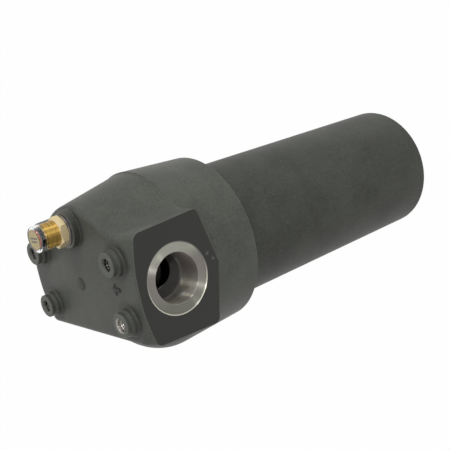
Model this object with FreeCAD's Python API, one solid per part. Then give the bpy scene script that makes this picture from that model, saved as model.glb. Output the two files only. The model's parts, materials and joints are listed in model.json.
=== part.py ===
"""High pressure inline filter: cast head, screwed bowl, pleated element and clogging indicator.

The filter axis is Z. The head is up and the bowl hangs down. The origin lies on the axis, in
the plane of the four mounting bosses' tops. The inlet port faces +X and the outlet port -X.
All lengths are in millimetres and all angles in degrees.
"""
import FreeCAD, Part
import math
import os

V = FreeCAD.Vector

# Head, outside
face_to_face = 168.4
face_depth = 10.0
port_depth = 48.4
arm_width = 95.6
arm_draft = 3.0
lobe_radius = 67.0
lobe_draft = 11.5
lobe_blend = 30.0
taper_end_depth = 75.0
front_bevel_radius = 84.2
front_bevel_angle = 30.0
front_bevel_blend = 10.0
front_round = 6.0
arm_corner_drop = 4.5
arm_rear_slope = 13.8
arm_rear_round = 5.0
collar_skirt = 10.5
collar_wall = 13.0
collar_draft = 2.6
collar_rim = 1.4
dome_round = 40.0
dome_share = 0.95

# Ports
port_thread_diameter = 41.91
port_thread_depth = 24.0
port_chamfer = 0.3
spotface_diameter = 59.4
spotface_depth = 1.0
spotface_wall = 1.5
passage_step = 3.91

# Mounting bosses
boss_spacing_x = 125.0
boss_spacing_y = 50.0
boss_diameter = 20.6
boss_machined_length = 4.5
boss_root_diameter = 23.0
boss_root_draft = 4.0
boss_fillet = 2.0
boss_edge = 0.6
boss_overlap = 3.0
boss_hole_diameter = 10.2
boss_hole_depth = 22.0
boss_countersink_diameter = 12.6
drill_point = 0.58

# Head, inside
chamber_neck_radius = 34.0
chamber_roof_rise = 15.4
chamber_neck_rise = 2.4
chamber_wide_rise = 15.0
chamber_edge = 8.0
spigot_bore_radius = 15.0
spigot_wall = 7.0
spigot_shoulder = 4.0
spigot_stop_rise = 13.0
spigot_length = 24.0
spigot_edge = 1.0
spigot_root_overlap = 2.0
duct_wall = 7.0

# Bowl and its seat in the head
bowl_diameter = 130.0
bowl_shoulder = 5.0
bowl_neck_step = 2.5
bowl_neck_wall = 7.5
bowl_length_depth = 410.0
bowl_end_thickness = 18.0
bowl_rim_chamfer = 2.4
bowl_floor_edge = 12.0
bowl_hex_across_flats = 46.0
bowl_hex_height = 12.0
bowl_hex_chamfer = 1.2
seat_depth = 85.0
seal_land_length = 21.0
bowl_thread_length = 24.0
bowl_thread_pitch = 2.0
thread_relief_share = 0.6
running_fit = 0.06
bowl_end_gap = 0.3
bowl_skirt_gap = 0.4
neck_edge = 0.8
skirt_edge = 1.0

# Bowl seal
seal_groove_drop = 9.0
seal_groove_depth = 2.8
o_ring_width = 3.9
backup_ring_width = 1.5
groove_side_gap = 0.35
seal_slack = 0.05
seal_roundness = 0.3

# Filter element
element_side_gap = 6.0
element_floor_gap = 20.0
cap_sheet = 2.0
cap_edge = 1.4
cap_rim_height = 9.0
cap_neck_wall = 3.0
cap_floor = 3.0
cap_lead_in = 0.8
cap_end_gap = 1.0
core_ledge = 2.0
core_wall = 1.2
core_slot_width = 7.0
core_slot_length = 18.0
core_slot_rows = 8
core_slot_columns = 4
pleat_count = 44
pleat_rim_gap = 0.5
pleat_core_gap = 1.0
pleat_sheet = 0.9
pleat_outer_gap = 1.5
pleat_inner_gap = 0.5
spigot_groove_drop = 12.0
spigot_groove_depth = 2.4
spigot_o_ring_width = 3.3

# Bypass valve in the element's lower cap
valve_radius = 15.0
valve_flange_width = 4.0
valve_flange_height = 3.0
valve_web = 4.0
valve_wall = 2.5
valve_window_width = 8.0
valve_window_count = 4
window_head = 7.5
valve_seat_radius = 8.0
poppet_gap = 1.0
poppet_thickness = 4.0
poppet_nose = 2.5
poppet_stem_radius = 3.0
poppet_lift = 6.0
seat_line_gap = 0.05
guide_thickness = 3.0
window_sill = 1.2
guide_recess_wall = 1.5
stem_end = 2.0
spring_seat_gap = 0.02
snap_ring_thickness = 1.2
snap_ring_depth = 0.9
snap_ring_width = 2.2
valve_spring_inset = 3.9
valve_spring_wire = 1.6
valve_spring_turns = 5
valve_spring_spare = 10.7
wire_sides = 6

# Clogging indicator
indicator_inset = 17.8
indicator_boss_edge = 1.0
indicator_seat_depth = 4.2
indicator_seat_margin = 1.7
boss_inset = 0.5
indicator_thread_diameter = 20.0
indicator_thread_length = 11.5
indicator_nose_step = 1.5
indicator_nose_length = 9.0
indicator_waist_step = 0.7
indicator_waist_length = 2.6
washer_thickness = 1.8
washer_bore_clearance = 0.2
washer_margin = 1.8
washer_edge = 0.3
hex_margin = 2.0
hex_height = 7.0
hex_chamfer_angle = 30.0
barrel_inset = 1.0
barrel_length = 11.6
barrel_groove_depth = 0.5
barrel_groove_width = 1.2
barrel_groove_start = 2.6
barrel_groove_pitch = 3.8
barrel_groove_count = 2
lens_overhang = 0.3
lens_length = 7.3
lens_wall = 1.5
lens_round = 1.8
lens_joint = 1.2
label_thickness = 0.8
label_margin = 1.0
signal_wall = 1.6
signal_travel = 3.0
signal_front_gap = 0.5
signal_gap = 0.3
signal_sink = 4.0
barrier = 2.0
piston_diameter = 10.0
piston_length = 9.0
piston_shoulder = 4.0
piston_ring_height = 2.2
piston_ring_thickness = 0.8
piston_ring_depth = 0.6
piston_end_gap = 1.0
piston_edge = 0.4
nose_end_gap = 1.0
nose_edge = 0.5
nose_seal_depth = 1.6
nose_seal_width = 2.6
nose_seal_drop = 1.4
nose_seal_gap = 0.2
oil_hole_radius = 1.2
piston_travel = 2.0
piston_magnet_diameter = 4.8
signal_magnet_diameter = 6.0
magnet_height = 2.5
piston_spring_radius = 4.0
piston_spring_wire = 0.7
piston_spring_turns = 4
piston_spring_gap = 0.2
sense_hole_diameter = 3.2
sense_hole_reach = 4.0

# Working values of the cuts
cut_margin = 1.0
same_place = 0.01
sharp_angle = 20.0

# Head: sizes and places that follow
pad_x = face_to_face / 2
half_port_width = arm_width / 2
arm_corner_depth = taper_end_depth + arm_corner_drop
port_thread_radius = port_thread_diameter / 2
port_thread_end = pad_x - port_thread_depth
passage_radius = (port_thread_diameter - passage_step) / 2
chamber_top_depth = port_depth - chamber_roof_rise
chamber_neck_depth = port_depth - chamber_neck_rise
chamber_wide_depth = seat_depth - chamber_wide_rise
spigot_stop_depth = seat_depth - spigot_stop_rise
spigot_end_depth = spigot_stop_depth + spigot_length
spigot_radius = spigot_bore_radius + spigot_wall
spigot_root_radius = spigot_radius + spigot_shoulder
duct_radius = spigot_bore_radius + duct_wall

# Bowl and collar: sizes and places that follow
bowl_radius = bowl_diameter / 2
thread_radius = bowl_radius - bowl_shoulder
land_radius = thread_radius - bowl_neck_step
bowl_bore_radius = land_radius - bowl_neck_wall
chamber_radius = bowl_bore_radius
bowl_thread_relief = bowl_thread_pitch * thread_relief_share
thread_top = seat_depth + seal_land_length
skirt_top = thread_top + bowl_thread_length
collar_depth = skirt_top + collar_skirt
collar_end_radius = bowl_radius + collar_wall
neck_top = seat_depth + bowl_end_gap
groove_top = neck_top + seal_groove_drop
groove_width = o_ring_width + backup_ring_width + 2 * groove_side_gap
groove_floor = land_radius - seal_groove_depth
bowl_floor_depth = bowl_length_depth - bowl_end_thickness

# Element and valve: sizes and places that follow
element_radius = bowl_bore_radius - element_side_gap
element_top_depth = spigot_end_depth + cap_floor + cap_end_gap
element_bottom_depth = bowl_floor_depth - element_floor_gap
cap_neck_radius = spigot_radius + running_fit
core_bore_radius = spigot_radius - core_ledge
pleat_inner_radius = core_bore_radius + core_wall + pleat_core_gap
pleat_outer_radius = element_radius - cap_sheet - pleat_rim_gap
valve_bore_radius = valve_radius - valve_wall
guide_recess_radius = valve_radius - guide_recess_wall
poppet_radius = valve_bore_radius - poppet_gap
valve_spring_radius = poppet_radius - valve_spring_inset

# Indicator: sizes and places that follow
indicator_y = lobe_radius - indicator_inset
indicator_thread_radius = indicator_thread_diameter / 2
indicator_nose_radius = indicator_thread_radius - indicator_nose_step
indicator_waist_radius = indicator_nose_radius - indicator_waist_step
hex_across_flats = indicator_thread_diameter + 2 * hex_margin
barrel_radius = hex_across_flats / 2 - barrel_inset
lens_radius = barrel_radius + lens_overhang
lens_bore_radius = lens_radius - lens_wall
washer_radius = hex_across_flats / 2 + washer_margin
indicator_seat_radius = washer_radius + indicator_seat_margin
indicator_hex_base = -indicator_seat_depth + washer_thickness
indicator_hex_front = indicator_hex_base + hex_height
barrel_front = indicator_hex_front + barrel_length
label_front = barrel_front + lens_length - lens_wall


def rounded_corner(before, here, after, radius):
    """Arc that rounds one corner of an outline, with its two ends."""
    to_before = (before - here).normalize()
    to_after = (after - here).normalize()
    half = to_before.getAngle(to_after) / 2
    start = here + to_before * (radius / math.tan(half))
    stop = here + to_after * (radius / math.tan(half))
    middle_line = (to_before + to_after).normalize()
    middle = here + middle_line * (radius / math.sin(half) - radius)
    return Part.Arc(start, middle, stop), start, stop


def cut_corner(before, here, after, leg):
    """Straight chamfer across one corner of an outline, with its two ends."""
    start = here + (before - here).normalize() * leg
    stop = here + (after - here).normalize() * leg
    return Part.LineSegment(start, stop), start, stop


def outline(corners):
    """Closed wire in the XZ plane through (x, z) corners.

    A third value rounds the corner by that radius, or chamfers it by that leg if it is negative.
    """
    count = len(corners)
    points = [V(corner[0], 0, corner[1]) for corner in corners]
    finished = []
    for i, corner in enumerate(corners):
        size = corner[2] if len(corner) > 2 else 0
        near = (points[i - 1], points[i], points[(i + 1) % count])
        if size > 0:
            finished.append(rounded_corner(*near, size))
        elif size < 0:
            finished.append(cut_corner(*near, -size))
        else:
            finished.append((None, points[i], points[i]))
    path = []
    for i, (curve, start, stop) in enumerate(finished):
        if curve:
            path.append(curve.toShape())
        following = finished[(i + 1) % count][1]
        if stop.distanceToPoint(following) > same_place / 100:
            path.append(Part.LineSegment(stop, following).toShape())
    return Part.Wire(path)


def turned(corners):
    """Solid of revolution about Z from (radius, z) corners."""
    return Part.Face(outline(corners)).revolve(V(0, 0, 0), V(0, 0, 1), 360)


def disc(radius, z_low, z_high, x=0, y=0):
    """Plain cylinder between two heights."""
    return Part.makeCylinder(radius, z_high - z_low, V(x, y, z_low))


def ring(inner, outer, z_low, z_high, chamfer=0):
    """Turned ring of rectangular section, with its edges chamfered if asked."""
    return turned([(inner, z_low, -chamfer), (outer, z_low, -chamfer),
                   (outer, z_high, -chamfer), (inner, z_high, -chamfer)])


def squeezed_ring(inner, outer, z_low, z_high):
    """O-ring squeezed between two bores, with its section's four corners cut back."""
    return ring(inner, outer, z_low, z_high, (outer - inner) * seal_roundness)


def split_ring(inner, outer, z_low, z_high, gap):
    """Open snap ring with its gap towards +X."""
    slot = Part.makeBox(outer + cut_margin, gap, z_high - z_low + 2 * cut_margin,
                        V(0, -gap / 2, z_low - cut_margin))
    return ring(inner, outer, z_low, z_high).cut(slot)


def along_x(shape, side):
    """Turns a shape made about Z so that +Z becomes the way out of a port, at the port's depth."""
    shape = shape.copy()
    shape.rotate(V(0, 0, 0), V(0, 1, 0), 90 * side)
    shape.translate(V(0, 0, -port_depth))
    return shape


def hexagon(across_flats, z_low, z_high):
    """Hexagonal prism with a flat towards +Y."""
    radius = across_flats / math.sqrt(3)
    points = [V(radius * math.cos(math.radians(60 * k)), radius * math.sin(math.radians(60 * k)), z_low)
              for k in range(6)]
    return Part.Face(Part.makePolygon(points + points[:1])).extrude(V(0, 0, z_high - z_low))


def coil(radius, wire, turns, z_low, z_high):
    """Compression spring between two seats, of wire drawn with flats on it."""
    pitch = (z_high - z_low - wire) / turns
    start = z_low + wire / 2
    path = Part.makeHelix(pitch, pitch * turns, radius)
    path.translate(V(0, 0, start))
    angles = [2 * math.pi * (k + 0.5) / wire_sides for k in range(wire_sides)]
    points = [V(radius + wire / 2 * math.cos(a), 0, start + wire / 2 * math.sin(a)) for a in angles]
    return Part.Wire(path).makePipeShell([Part.makePolygon(points + points[:1])], True, True)


def head_plan(radius, half_width, z):
    """Plan outline of the head: two port arms, a round lobe at +Y and a flat side at -Y."""
    reach = radius + lobe_blend
    blend_y = half_width + lobe_blend
    blend_x = math.sqrt(reach ** 2 - blend_y ** 2)
    touch = V(blend_x, blend_y, 0) * (radius / reach)
    middle_line = (V(-blend_x, -blend_y, 0).normalize() + V(0, -1, 0)).normalize()
    blend_middle = V(blend_x, blend_y, 0) + middle_line * lobe_blend

    def at(x, y):
        return V(x, y, z)

    edges = [
        Part.LineSegment(at(pad_x, -half_width), at(pad_x, half_width)),
        Part.LineSegment(at(pad_x, half_width), at(blend_x, half_width)),
        Part.Arc(at(blend_x, half_width), at(blend_middle.x, blend_middle.y), at(touch.x, touch.y)),
        Part.Arc(at(touch.x, touch.y), at(0, radius), at(-touch.x, touch.y)),
        Part.Arc(at(-touch.x, touch.y), at(-blend_middle.x, blend_middle.y), at(-blend_x, half_width)),
        Part.LineSegment(at(-blend_x, half_width), at(-pad_x, half_width)),
        Part.LineSegment(at(-pad_x, half_width), at(-pad_x, -half_width)),
        Part.LineSegment(at(-pad_x, -half_width), at(pad_x, -half_width)),
    ]
    return Part.Wire([edge.toShape() for edge in edges])


def arm_half_width(depth):
    """Half the width of the port arms at a depth, with their draft."""
    return half_port_width + math.tan(math.radians(arm_draft)) * (depth - port_depth)


def arm_underside():
    """Underside of both port arms below the lobe: one straight bar that slopes to a middle ridge."""
    top = arm_half_width(taper_end_depth)
    corner = arm_half_width(arm_corner_depth)
    ridge = arm_corner_depth + math.tan(math.radians(arm_rear_slope)) * corner
    profile = outline([
        (-top, -taper_end_depth),
        (-corner, -arm_corner_depth, arm_rear_round),
        (0, -ridge),
        (corner, -arm_corner_depth, arm_rear_round),
        (top, -taper_end_depth),
    ])
    bar = Part.Face(profile).extrude(V(0, face_to_face, 0))
    bar.rotate(V(0, 0, 0), V(0, 0, 1), 90)
    bar.translate(V(pad_x, 0, 0))
    return bar


def head_block():
    """Cast block with both port arms, lofted with draft and bounded by a turned envelope."""
    def section(depth):
        lobe = lobe_radius + math.tan(math.radians(lobe_draft)) * (depth - face_depth)
        return head_plan(lobe, arm_half_width(depth), -depth)

    upper = Part.makeLoft([section(face_depth), section(taper_end_depth)], True, True)
    arms = arm_underside()
    low = arms.BoundBox.ZMin - cut_margin
    corner = math.hypot(pad_x, half_port_width) + cut_margin
    bevel_drop = math.tan(math.radians(front_bevel_angle)) * (corner - front_bevel_radius)
    envelope = turned([
        (0, -face_depth),
        (front_bevel_radius, -face_depth, front_bevel_blend),
        (corner, -face_depth - bevel_drop),
        (corner, low),
        (0, low),
    ])
    return upper.fuse(arms).common(envelope).removeSplitter().Solids[0]


def round_front(block):
    """Rounds the front face's outline, apart from the two machined port pads."""
    edges = []
    for edge in block.Edges:
        box = edge.BoundBox
        on_pad = box.XLength < same_place and abs(abs(box.XMin) - pad_x) < same_place
        near_front = box.ZMin > -face_depth - 2 * front_round
        middle = edge.valueAt((edge.FirstParameter + edge.LastParameter) / 2)
        normals = []
        for face in block.ancestorsOfType(edge, Part.Face):
            u, v = face.Surface.parameter(middle)
            normals.append(face.normalAt(u, v))
        sharp = len(normals) == 2 and normals[0].getAngle(normals[1]) > math.radians(sharp_angle)
        if near_front and sharp and not on_pad:
            edges.append(edge)
    return block.makeFillet(front_round, edges)


def collar():
    """Turned collar that takes the bowl's neck."""
    rise = math.tan(math.radians(collar_draft)) * (collar_depth - taper_end_depth)
    return turned([
        (0, -collar_depth),
        (collar_end_radius, -collar_depth, -collar_rim),
        (collar_end_radius + rise, -taper_end_depth),
        (0, -taper_end_depth),
    ])


def dome():
    """Rounded shoulder that closes the collar on the head's flat side, at -Y."""
    radius = collar_end_radius + math.tan(math.radians(collar_draft)) * (collar_depth - taper_end_depth)
    top = dome_round - taper_end_depth
    profile = outline([
        (0, -taper_end_depth),
        (radius, -taper_end_depth),
        (radius, top, dome_round * dome_share),
        (0, top),
    ])
    return Part.Face(profile).revolve(V(0, 0, 0), V(0, 0, 1), -180)


def mounting_boss():
    """One fixing boss: a machined top on a drafted cast root that is filleted into the face."""
    root = boss_root_diameter / 2
    spread = math.tan(math.radians(boss_root_draft)) * (face_depth - boss_machined_length)
    step = root - boss_diameter / 2
    foot = root + spread + boss_fillet
    return turned([
        (0, -face_depth - boss_overlap),
        (foot, -face_depth - boss_overlap),
        (foot, -face_depth),
        (root + spread, -face_depth, boss_fillet),
        (root, -boss_machined_length - step),
        (boss_diameter / 2, -boss_machined_length),
        (boss_diameter / 2, 0, -boss_edge),
        (0, 0),
    ])


def boss_places():
    """Centres of the four mounting bosses."""
    return [(sx * boss_spacing_x / 2, sy * boss_spacing_y / 2) for sx in (-1, 1) for sy in (-1, 1)]


def indicator_boss():
    """Spotfaced boss under the clogging indicator, flush with the lobe's side."""
    low = face_depth + front_round
    boss = disc(indicator_seat_radius + indicator_boss_edge, -low, -indicator_seat_depth, 0, indicator_y)
    slope = math.tan(math.radians(lobe_draft))
    side = turned([
        (0, -low),
        (lobe_radius + slope * (low - face_depth) - boss_inset, -low),
        (lobe_radius - slope * (face_depth - indicator_seat_depth) - boss_inset, -indicator_seat_depth),
        (0, -indicator_seat_depth),
    ])
    return boss.common(side)


def head_outside():
    """The whole cast form of the head, before anything is bored."""
    body = round_front(head_block()).fuse([collar(), dome()]).removeSplitter().Solids[0]
    bosses = []
    for x, y in boss_places():
        boss = mounting_boss()
        boss.translate(V(x, y, 0))
        bosses.append(boss)
    return body.fuse(bosses + [indicator_boss()]).removeSplitter().Solids[0]


def port_cut(side, passage_start):
    """Sloped spotface and thread bore of one port, with its passage from that distance off the axis."""
    thread = port_thread_radius
    cut = turned([
        (0, passage_start),
        (passage_radius, passage_start),
        (passage_radius, port_thread_end),
        (thread, port_thread_end),
        (thread, pad_x - spotface_depth - port_chamfer),
        (thread + port_chamfer, pad_x - spotface_depth),
        (spotface_diameter / 2 - spotface_wall, pad_x - spotface_depth),
        (spotface_diameter / 2, pad_x),
        (spotface_diameter / 2, pad_x + cut_margin),
        (0, pad_x + cut_margin),
    ])
    return along_x(cut, side)


def bowl_seat_cut():
    """Seal land, thread, relief and skirt bore that take the bowl, opening downwards."""
    land = land_radius + running_fit
    thread = thread_radius + running_fit
    skirt = bowl_radius + bowl_skirt_gap
    return turned([
        (0, -seat_depth),
        (land, -seat_depth),
        (land, -thread_top),
        (thread, -thread_top - (thread - land)),
        (thread, -skirt_top),
        (skirt, -skirt_top),
        (skirt, skirt_edge - collar_depth),
        (skirt + skirt_edge, -collar_depth),
        (skirt + skirt_edge, -collar_depth - cut_margin),
        (0, -collar_depth - cut_margin),
    ])


def chamber_cut():
    """Dirty oil chamber round the spigot."""
    return turned([
        (0, -seat_depth - cut_margin),
        (chamber_radius, -seat_depth - cut_margin),
        (chamber_radius, -chamber_wide_depth, -chamber_edge),
        (chamber_neck_radius, -chamber_neck_depth),
        (chamber_neck_radius, -chamber_top_depth, -chamber_edge),
        (0, -chamber_top_depth),
    ])


def spigot():
    """Outlet spigot that the element plugs on, with its stop shoulder and O-ring groove."""
    groove = spigot_radius - spigot_groove_depth
    top = -spigot_end_depth + spigot_groove_drop
    low = top - spigot_o_ring_width - 2 * groove_side_gap
    return turned([
        (0, -spigot_end_depth),
        (spigot_radius, -spigot_end_depth, -spigot_edge),
        (spigot_radius, low),
        (groove, low),
        (groove, top),
        (spigot_radius, top),
        (spigot_radius, -spigot_stop_depth),
        (spigot_root_radius, -spigot_stop_depth),
        (spigot_root_radius, -chamber_top_depth + spigot_root_overlap),
        (0, -chamber_top_depth + spigot_root_overlap),
    ])


def outlet_duct():
    """Wall of the passage that crosses the chamber from the spigot to the outlet port."""
    return along_x(disc(duct_radius, 0, chamber_radius + cut_margin), -1)


def outlet_cut():
    """Clean oil passage: up the spigot, then across to the outlet port."""
    up = disc(spigot_bore_radius, -spigot_end_depth - cut_margin, -port_depth)
    across = turned([
        (0, -spigot_bore_radius),
        (spigot_bore_radius, -spigot_bore_radius),
        (spigot_bore_radius, chamber_neck_radius),
        (passage_radius, port_thread_end - cut_margin),
        (passage_radius, port_thread_end + cut_margin),
        (0, port_thread_end + cut_margin),
    ])
    return [up, along_x(across, -1)]


def boss_hole():
    """Tapped hole of a mounting boss, drilled to the minor diameter and countersunk."""
    hole = boss_hole_diameter / 2
    sink = boss_countersink_diameter / 2
    return turned([
        (0, -boss_hole_depth - hole * drill_point),
        (hole, -boss_hole_depth),
        (hole, hole - sink),
        (sink, 0),
        (sink, cut_margin),
        (0, cut_margin),
    ])


def indicator_cut():
    """Stepped bore of the indicator, its spotface and the two oil drillings that it compares."""
    thread = indicator_thread_radius
    nose = indicator_nose_radius
    thread_end = indicator_seat_depth + indicator_thread_length
    floor = thread_end + indicator_waist_length + indicator_nose_length
    bore = turned([
        (0, -floor - nose * drill_point),
        (nose, -floor),
        (nose, -thread_end - (thread - nose)),
        (thread, -thread_end),
        (thread, -indicator_seat_depth),
        (indicator_seat_radius, -indicator_seat_depth),
        (indicator_seat_radius, cut_margin - indicator_seat_depth),
        (0, cut_margin - indicator_seat_depth),
    ])
    bore.translate(V(0, indicator_y, 0))
    dirty = disc(sense_hole_diameter / 2, -chamber_wide_depth - sense_hole_reach, -floor, 0, indicator_y)
    mouth = V(0, indicator_y - nose, -thread_end - indicator_waist_length / 2)
    target = V(0, 0, -port_depth + spigot_bore_radius - cut_margin)
    start = mouth + (mouth - target).normalize() * (nose / 2)
    clean = Part.makeCylinder(sense_hole_diameter / 2, (target - start).Length, start, target - start)
    return [bore, dirty, clean]


def filter_head():
    """Cast head, bored and spotfaced."""
    body = head_outside()
    cuts = [chamber_cut().cut([spigot(), outlet_duct()]), bowl_seat_cut().cut(spigot())]
    cuts.append(port_cut(1, chamber_neck_radius - chamber_edge))
    cuts.append(port_cut(-1, port_thread_end - cut_margin))
    cuts += outlet_cut() + indicator_cut()
    for x, y in boss_places():
        hole = boss_hole()
        hole.translate(V(x, y, 0))
        cuts.append(hole)
    return body.cut(cuts)


def bowl():
    """Drawn steel bowl: long plain tube, closed end with a wrench hexagon, threaded neck."""
    relief = thread_radius - bowl_thread_relief
    thread_low = -skirt_top + bowl_thread_pitch
    thread_high = -thread_top - bowl_thread_pitch
    body = turned([
        (0, -bowl_length_depth),
        (bowl_radius, -bowl_length_depth, -bowl_rim_chamfer),
        (bowl_radius, -skirt_top - bowl_end_gap),
        (relief, -skirt_top - bowl_end_gap),
        (relief, thread_low),
        (thread_radius, thread_low + bowl_thread_relief),
        (thread_radius, thread_high, -neck_edge),
        (land_radius, thread_high),
        (land_radius, -groove_top - groove_width),
        (groove_floor, -groove_top - groove_width),
        (groove_floor, -groove_top),
        (land_radius, -groove_top),
        (land_radius, -neck_top, -neck_edge),
        (bowl_bore_radius, -neck_top),
        (bowl_bore_radius, -bowl_floor_depth, -bowl_floor_edge),
        (0, -bowl_floor_depth),
    ])
    corner = bowl_hex_across_flats / math.sqrt(3)
    end = -bowl_length_depth - bowl_hex_height
    inside = -bowl_length_depth + cut_margin
    slope = math.tan(math.radians(hex_chamfer_angle))
    chamfer = turned([
        (0, end),
        (corner - bowl_hex_chamfer, end),
        (corner + cut_margin, end + (cut_margin + bowl_hex_chamfer) * slope),
        (corner + cut_margin, inside),
        (0, inside),
    ])
    return body.fuse(hexagon(bowl_hex_across_flats, end, inside).common(chamfer))


def bowl_o_ring():
    """Squeezed O-ring on the bowl's neck, on the oil side of its groove."""
    top = -groove_top - groove_side_gap
    outer = land_radius + running_fit - seal_slack
    return squeezed_ring(groove_floor + seal_slack, outer, top - o_ring_width, top)


def bowl_backup_ring():
    """Flat backup ring behind the O-ring, on the thread's side."""
    top = -groove_top - groove_side_gap - o_ring_width
    return ring(groove_floor + seal_slack, land_radius, top - backup_ring_width, top)


def element_top_cap():
    """Pressed cap that closes the pleats above, with the neck that plugs on the spigot."""
    neck = cap_neck_radius + cap_neck_wall
    rim = element_radius
    top = -element_top_depth
    return turned([
        (core_bore_radius, top - cap_sheet),
        (rim - cap_sheet, top - cap_sheet),
        (rim - cap_sheet, top - cap_rim_height),
        (rim, top - cap_rim_height),
        (rim, top, -cap_edge),
        (neck, top),
        (neck, -spigot_stop_depth),
        (cap_neck_radius, -spigot_stop_depth, -cap_lead_in),
        (cap_neck_radius, -spigot_end_depth - cap_end_gap),
        (core_bore_radius, -spigot_end_depth - cap_end_gap),
    ])


def element_bottom_cap():
    """Pressed cap that closes the pleats below and holds the bypass valve."""
    rim = element_radius
    low = -element_bottom_depth
    return turned([
        (valve_radius + running_fit, low),
        (rim, low, -cap_edge),
        (rim, low + cap_rim_height),
        (rim - cap_sheet, low + cap_rim_height),
        (rim - cap_sheet, low + cap_sheet),
        (valve_radius + running_fit, low + cap_sheet),
    ])


def core_tube():
    """Slotted tube that carries the pleats against the oil's pressure."""
    low = -element_bottom_depth + cap_sheet
    high = -element_top_depth - cap_sheet
    outer = core_bore_radius + core_wall
    step = (high - low) / core_slot_rows
    slots = []
    for row in range(core_slot_rows):
        middle = low + step * (row + 0.5)
        for column in range(core_slot_columns):
            slot = Part.makeBox(outer, core_slot_width, core_slot_length,
                                V(core_wall, -core_slot_width / 2, middle - core_slot_length / 2))
            slot.rotate(V(0, 0, 0), V(0, 0, 1), 360 / core_slot_columns * (column + (row % 2) / 2))
            slots.append(slot)
    return ring(core_bore_radius, outer, low, high).cut(slots)


def element_media():
    """Pleated filter sheet, one closed fold pattern extruded between the caps."""
    low = -element_bottom_depth + cap_sheet
    high = -element_top_depth - cap_sheet

    def point(radius, turn, shift):
        angle = math.radians(turn)
        return V(radius * math.cos(angle) - shift * math.sin(angle),
                 radius * math.sin(angle) + shift * math.cos(angle), low)

    def folded(outer, inner, outer_half, inner_half):
        points = []
        for k in range(pleat_count):
            crest = 360 / pleat_count * k
            root = crest + 180 / pleat_count
            points += [point(outer, crest, -outer_half), point(outer, crest, outer_half),
                       point(inner, root, -inner_half), point(inner, root, inner_half)]
        return Part.Face(Part.makePolygon(points + points[:1]))

    outside = folded(pleat_outer_radius, pleat_inner_radius + pleat_sheet,
                     pleat_outer_gap / 2 + pleat_sheet, pleat_inner_gap / 2)
    inside = folded(pleat_outer_radius - pleat_sheet, pleat_inner_radius,
                    pleat_outer_gap / 2, pleat_inner_gap / 2 + pleat_sheet)
    return outside.cut(inside).extrude(V(0, 0, high - low)).Solids[0]


def spigot_o_ring():
    """O-ring between the head's spigot and the element's neck."""
    top = -spigot_end_depth + spigot_groove_drop - groove_side_gap
    return squeezed_ring(spigot_radius - spigot_groove_depth, cap_neck_radius, top - spigot_o_ring_width, top)


def valve_heights():
    """Heights of the valve's underside, seat, guide land and top."""
    low = -element_bottom_depth - valve_flange_height
    seat = low + valve_web
    spring_room = valve_spring_turns * valve_spring_wire + poppet_lift + valve_spring_spare
    land = seat + poppet_thickness + spring_room
    ring_top = land + guide_thickness + snap_ring_thickness
    return low, seat, land, ring_top, ring_top + snap_ring_width / 2


def bypass_valve_body():
    """Bypass valve body: seat, guide bore and oil windows, clamped in the lower cap."""
    low, seat, land, ring_top, top = valve_heights()
    groove = guide_recess_radius + snap_ring_depth
    body = turned([
        (valve_seat_radius, low),
        (valve_radius + valve_flange_width, low),
        (valve_radius + valve_flange_width, low + valve_flange_height),
        (valve_radius, low + valve_flange_height),
        (valve_radius, top),
        (guide_recess_radius, top),
        (guide_recess_radius, ring_top),
        (groove, ring_top),
        (groove, ring_top - snap_ring_thickness),
        (guide_recess_radius, ring_top - snap_ring_thickness),
        (guide_recess_radius, land),
        (valve_bore_radius, land),
        (valve_bore_radius, seat),
        (valve_seat_radius, seat),
    ])
    height = land - window_head - seat - window_sill
    window = Part.makeBox(valve_radius + cut_margin, valve_window_width, height,
                          V(0, -valve_window_width / 2, seat + window_sill))
    windows = []
    for k in range(valve_window_count):
        turned_window = window.copy()
        turned_window.rotate(V(0, 0, 0), V(0, 0, 1), 360 / valve_window_count * k)
        windows.append(turned_window)
    return body.cut(windows)


def bypass_poppet():
    """Bypass poppet: disc, conical nose in the seat and guided stem."""
    low, seat, land, ring_top, top = valve_heights()
    return turned([
        (0, seat - poppet_nose),
        (valve_seat_radius - poppet_nose, seat - poppet_nose),
        (valve_seat_radius - seat_line_gap, seat + seat_line_gap),
        (poppet_radius, seat + seat_line_gap),
        (poppet_radius, seat + poppet_thickness),
        (poppet_stem_radius, seat + poppet_thickness),
        (poppet_stem_radius, land + guide_thickness + stem_end),
        (0, land + guide_thickness + stem_end),
    ])


def bypass_guide():
    """Guide plate that carries the poppet's stem and the spring."""
    low, seat, land, ring_top, top = valve_heights()
    bore = poppet_stem_radius + running_fit
    return ring(bore, guide_recess_radius - seal_slack, land, land + guide_thickness)


def bypass_snap_ring():
    """Open ring that holds the guide plate in the valve body."""
    low, seat, land, ring_top, top = valve_heights()
    outer = guide_recess_radius + snap_ring_depth - seal_slack
    return split_ring(outer - snap_ring_width, outer, ring_top - snap_ring_thickness, ring_top,
                      2 * snap_ring_width)


def bypass_spring():
    """Spring that keeps the bypass shut."""
    low, seat, land, ring_top, top = valve_heights()
    return coil(valve_spring_radius, valve_spring_wire, valve_spring_turns,
                seat + poppet_thickness + spring_seat_gap, land - spring_seat_gap)


def on_indicator(shape):
    """Moves a shape made about Z onto the indicator's axis."""
    shape.translate(V(0, indicator_y, 0))
    return shape


def indicator_depths():
    """Heights inside the indicator, from the nose end up to the signal chamber's floor."""
    waist_end = -indicator_seat_depth - indicator_thread_length - indicator_waist_length
    nose_end = waist_end - indicator_nose_length + nose_end_gap
    piston_low = nose_end + piston_ring_height
    piston_top = piston_low + piston_length
    roof = piston_top + piston_travel + piston_end_gap
    floor = roof + barrier
    return nose_end, piston_low, piston_top, roof, floor


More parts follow.
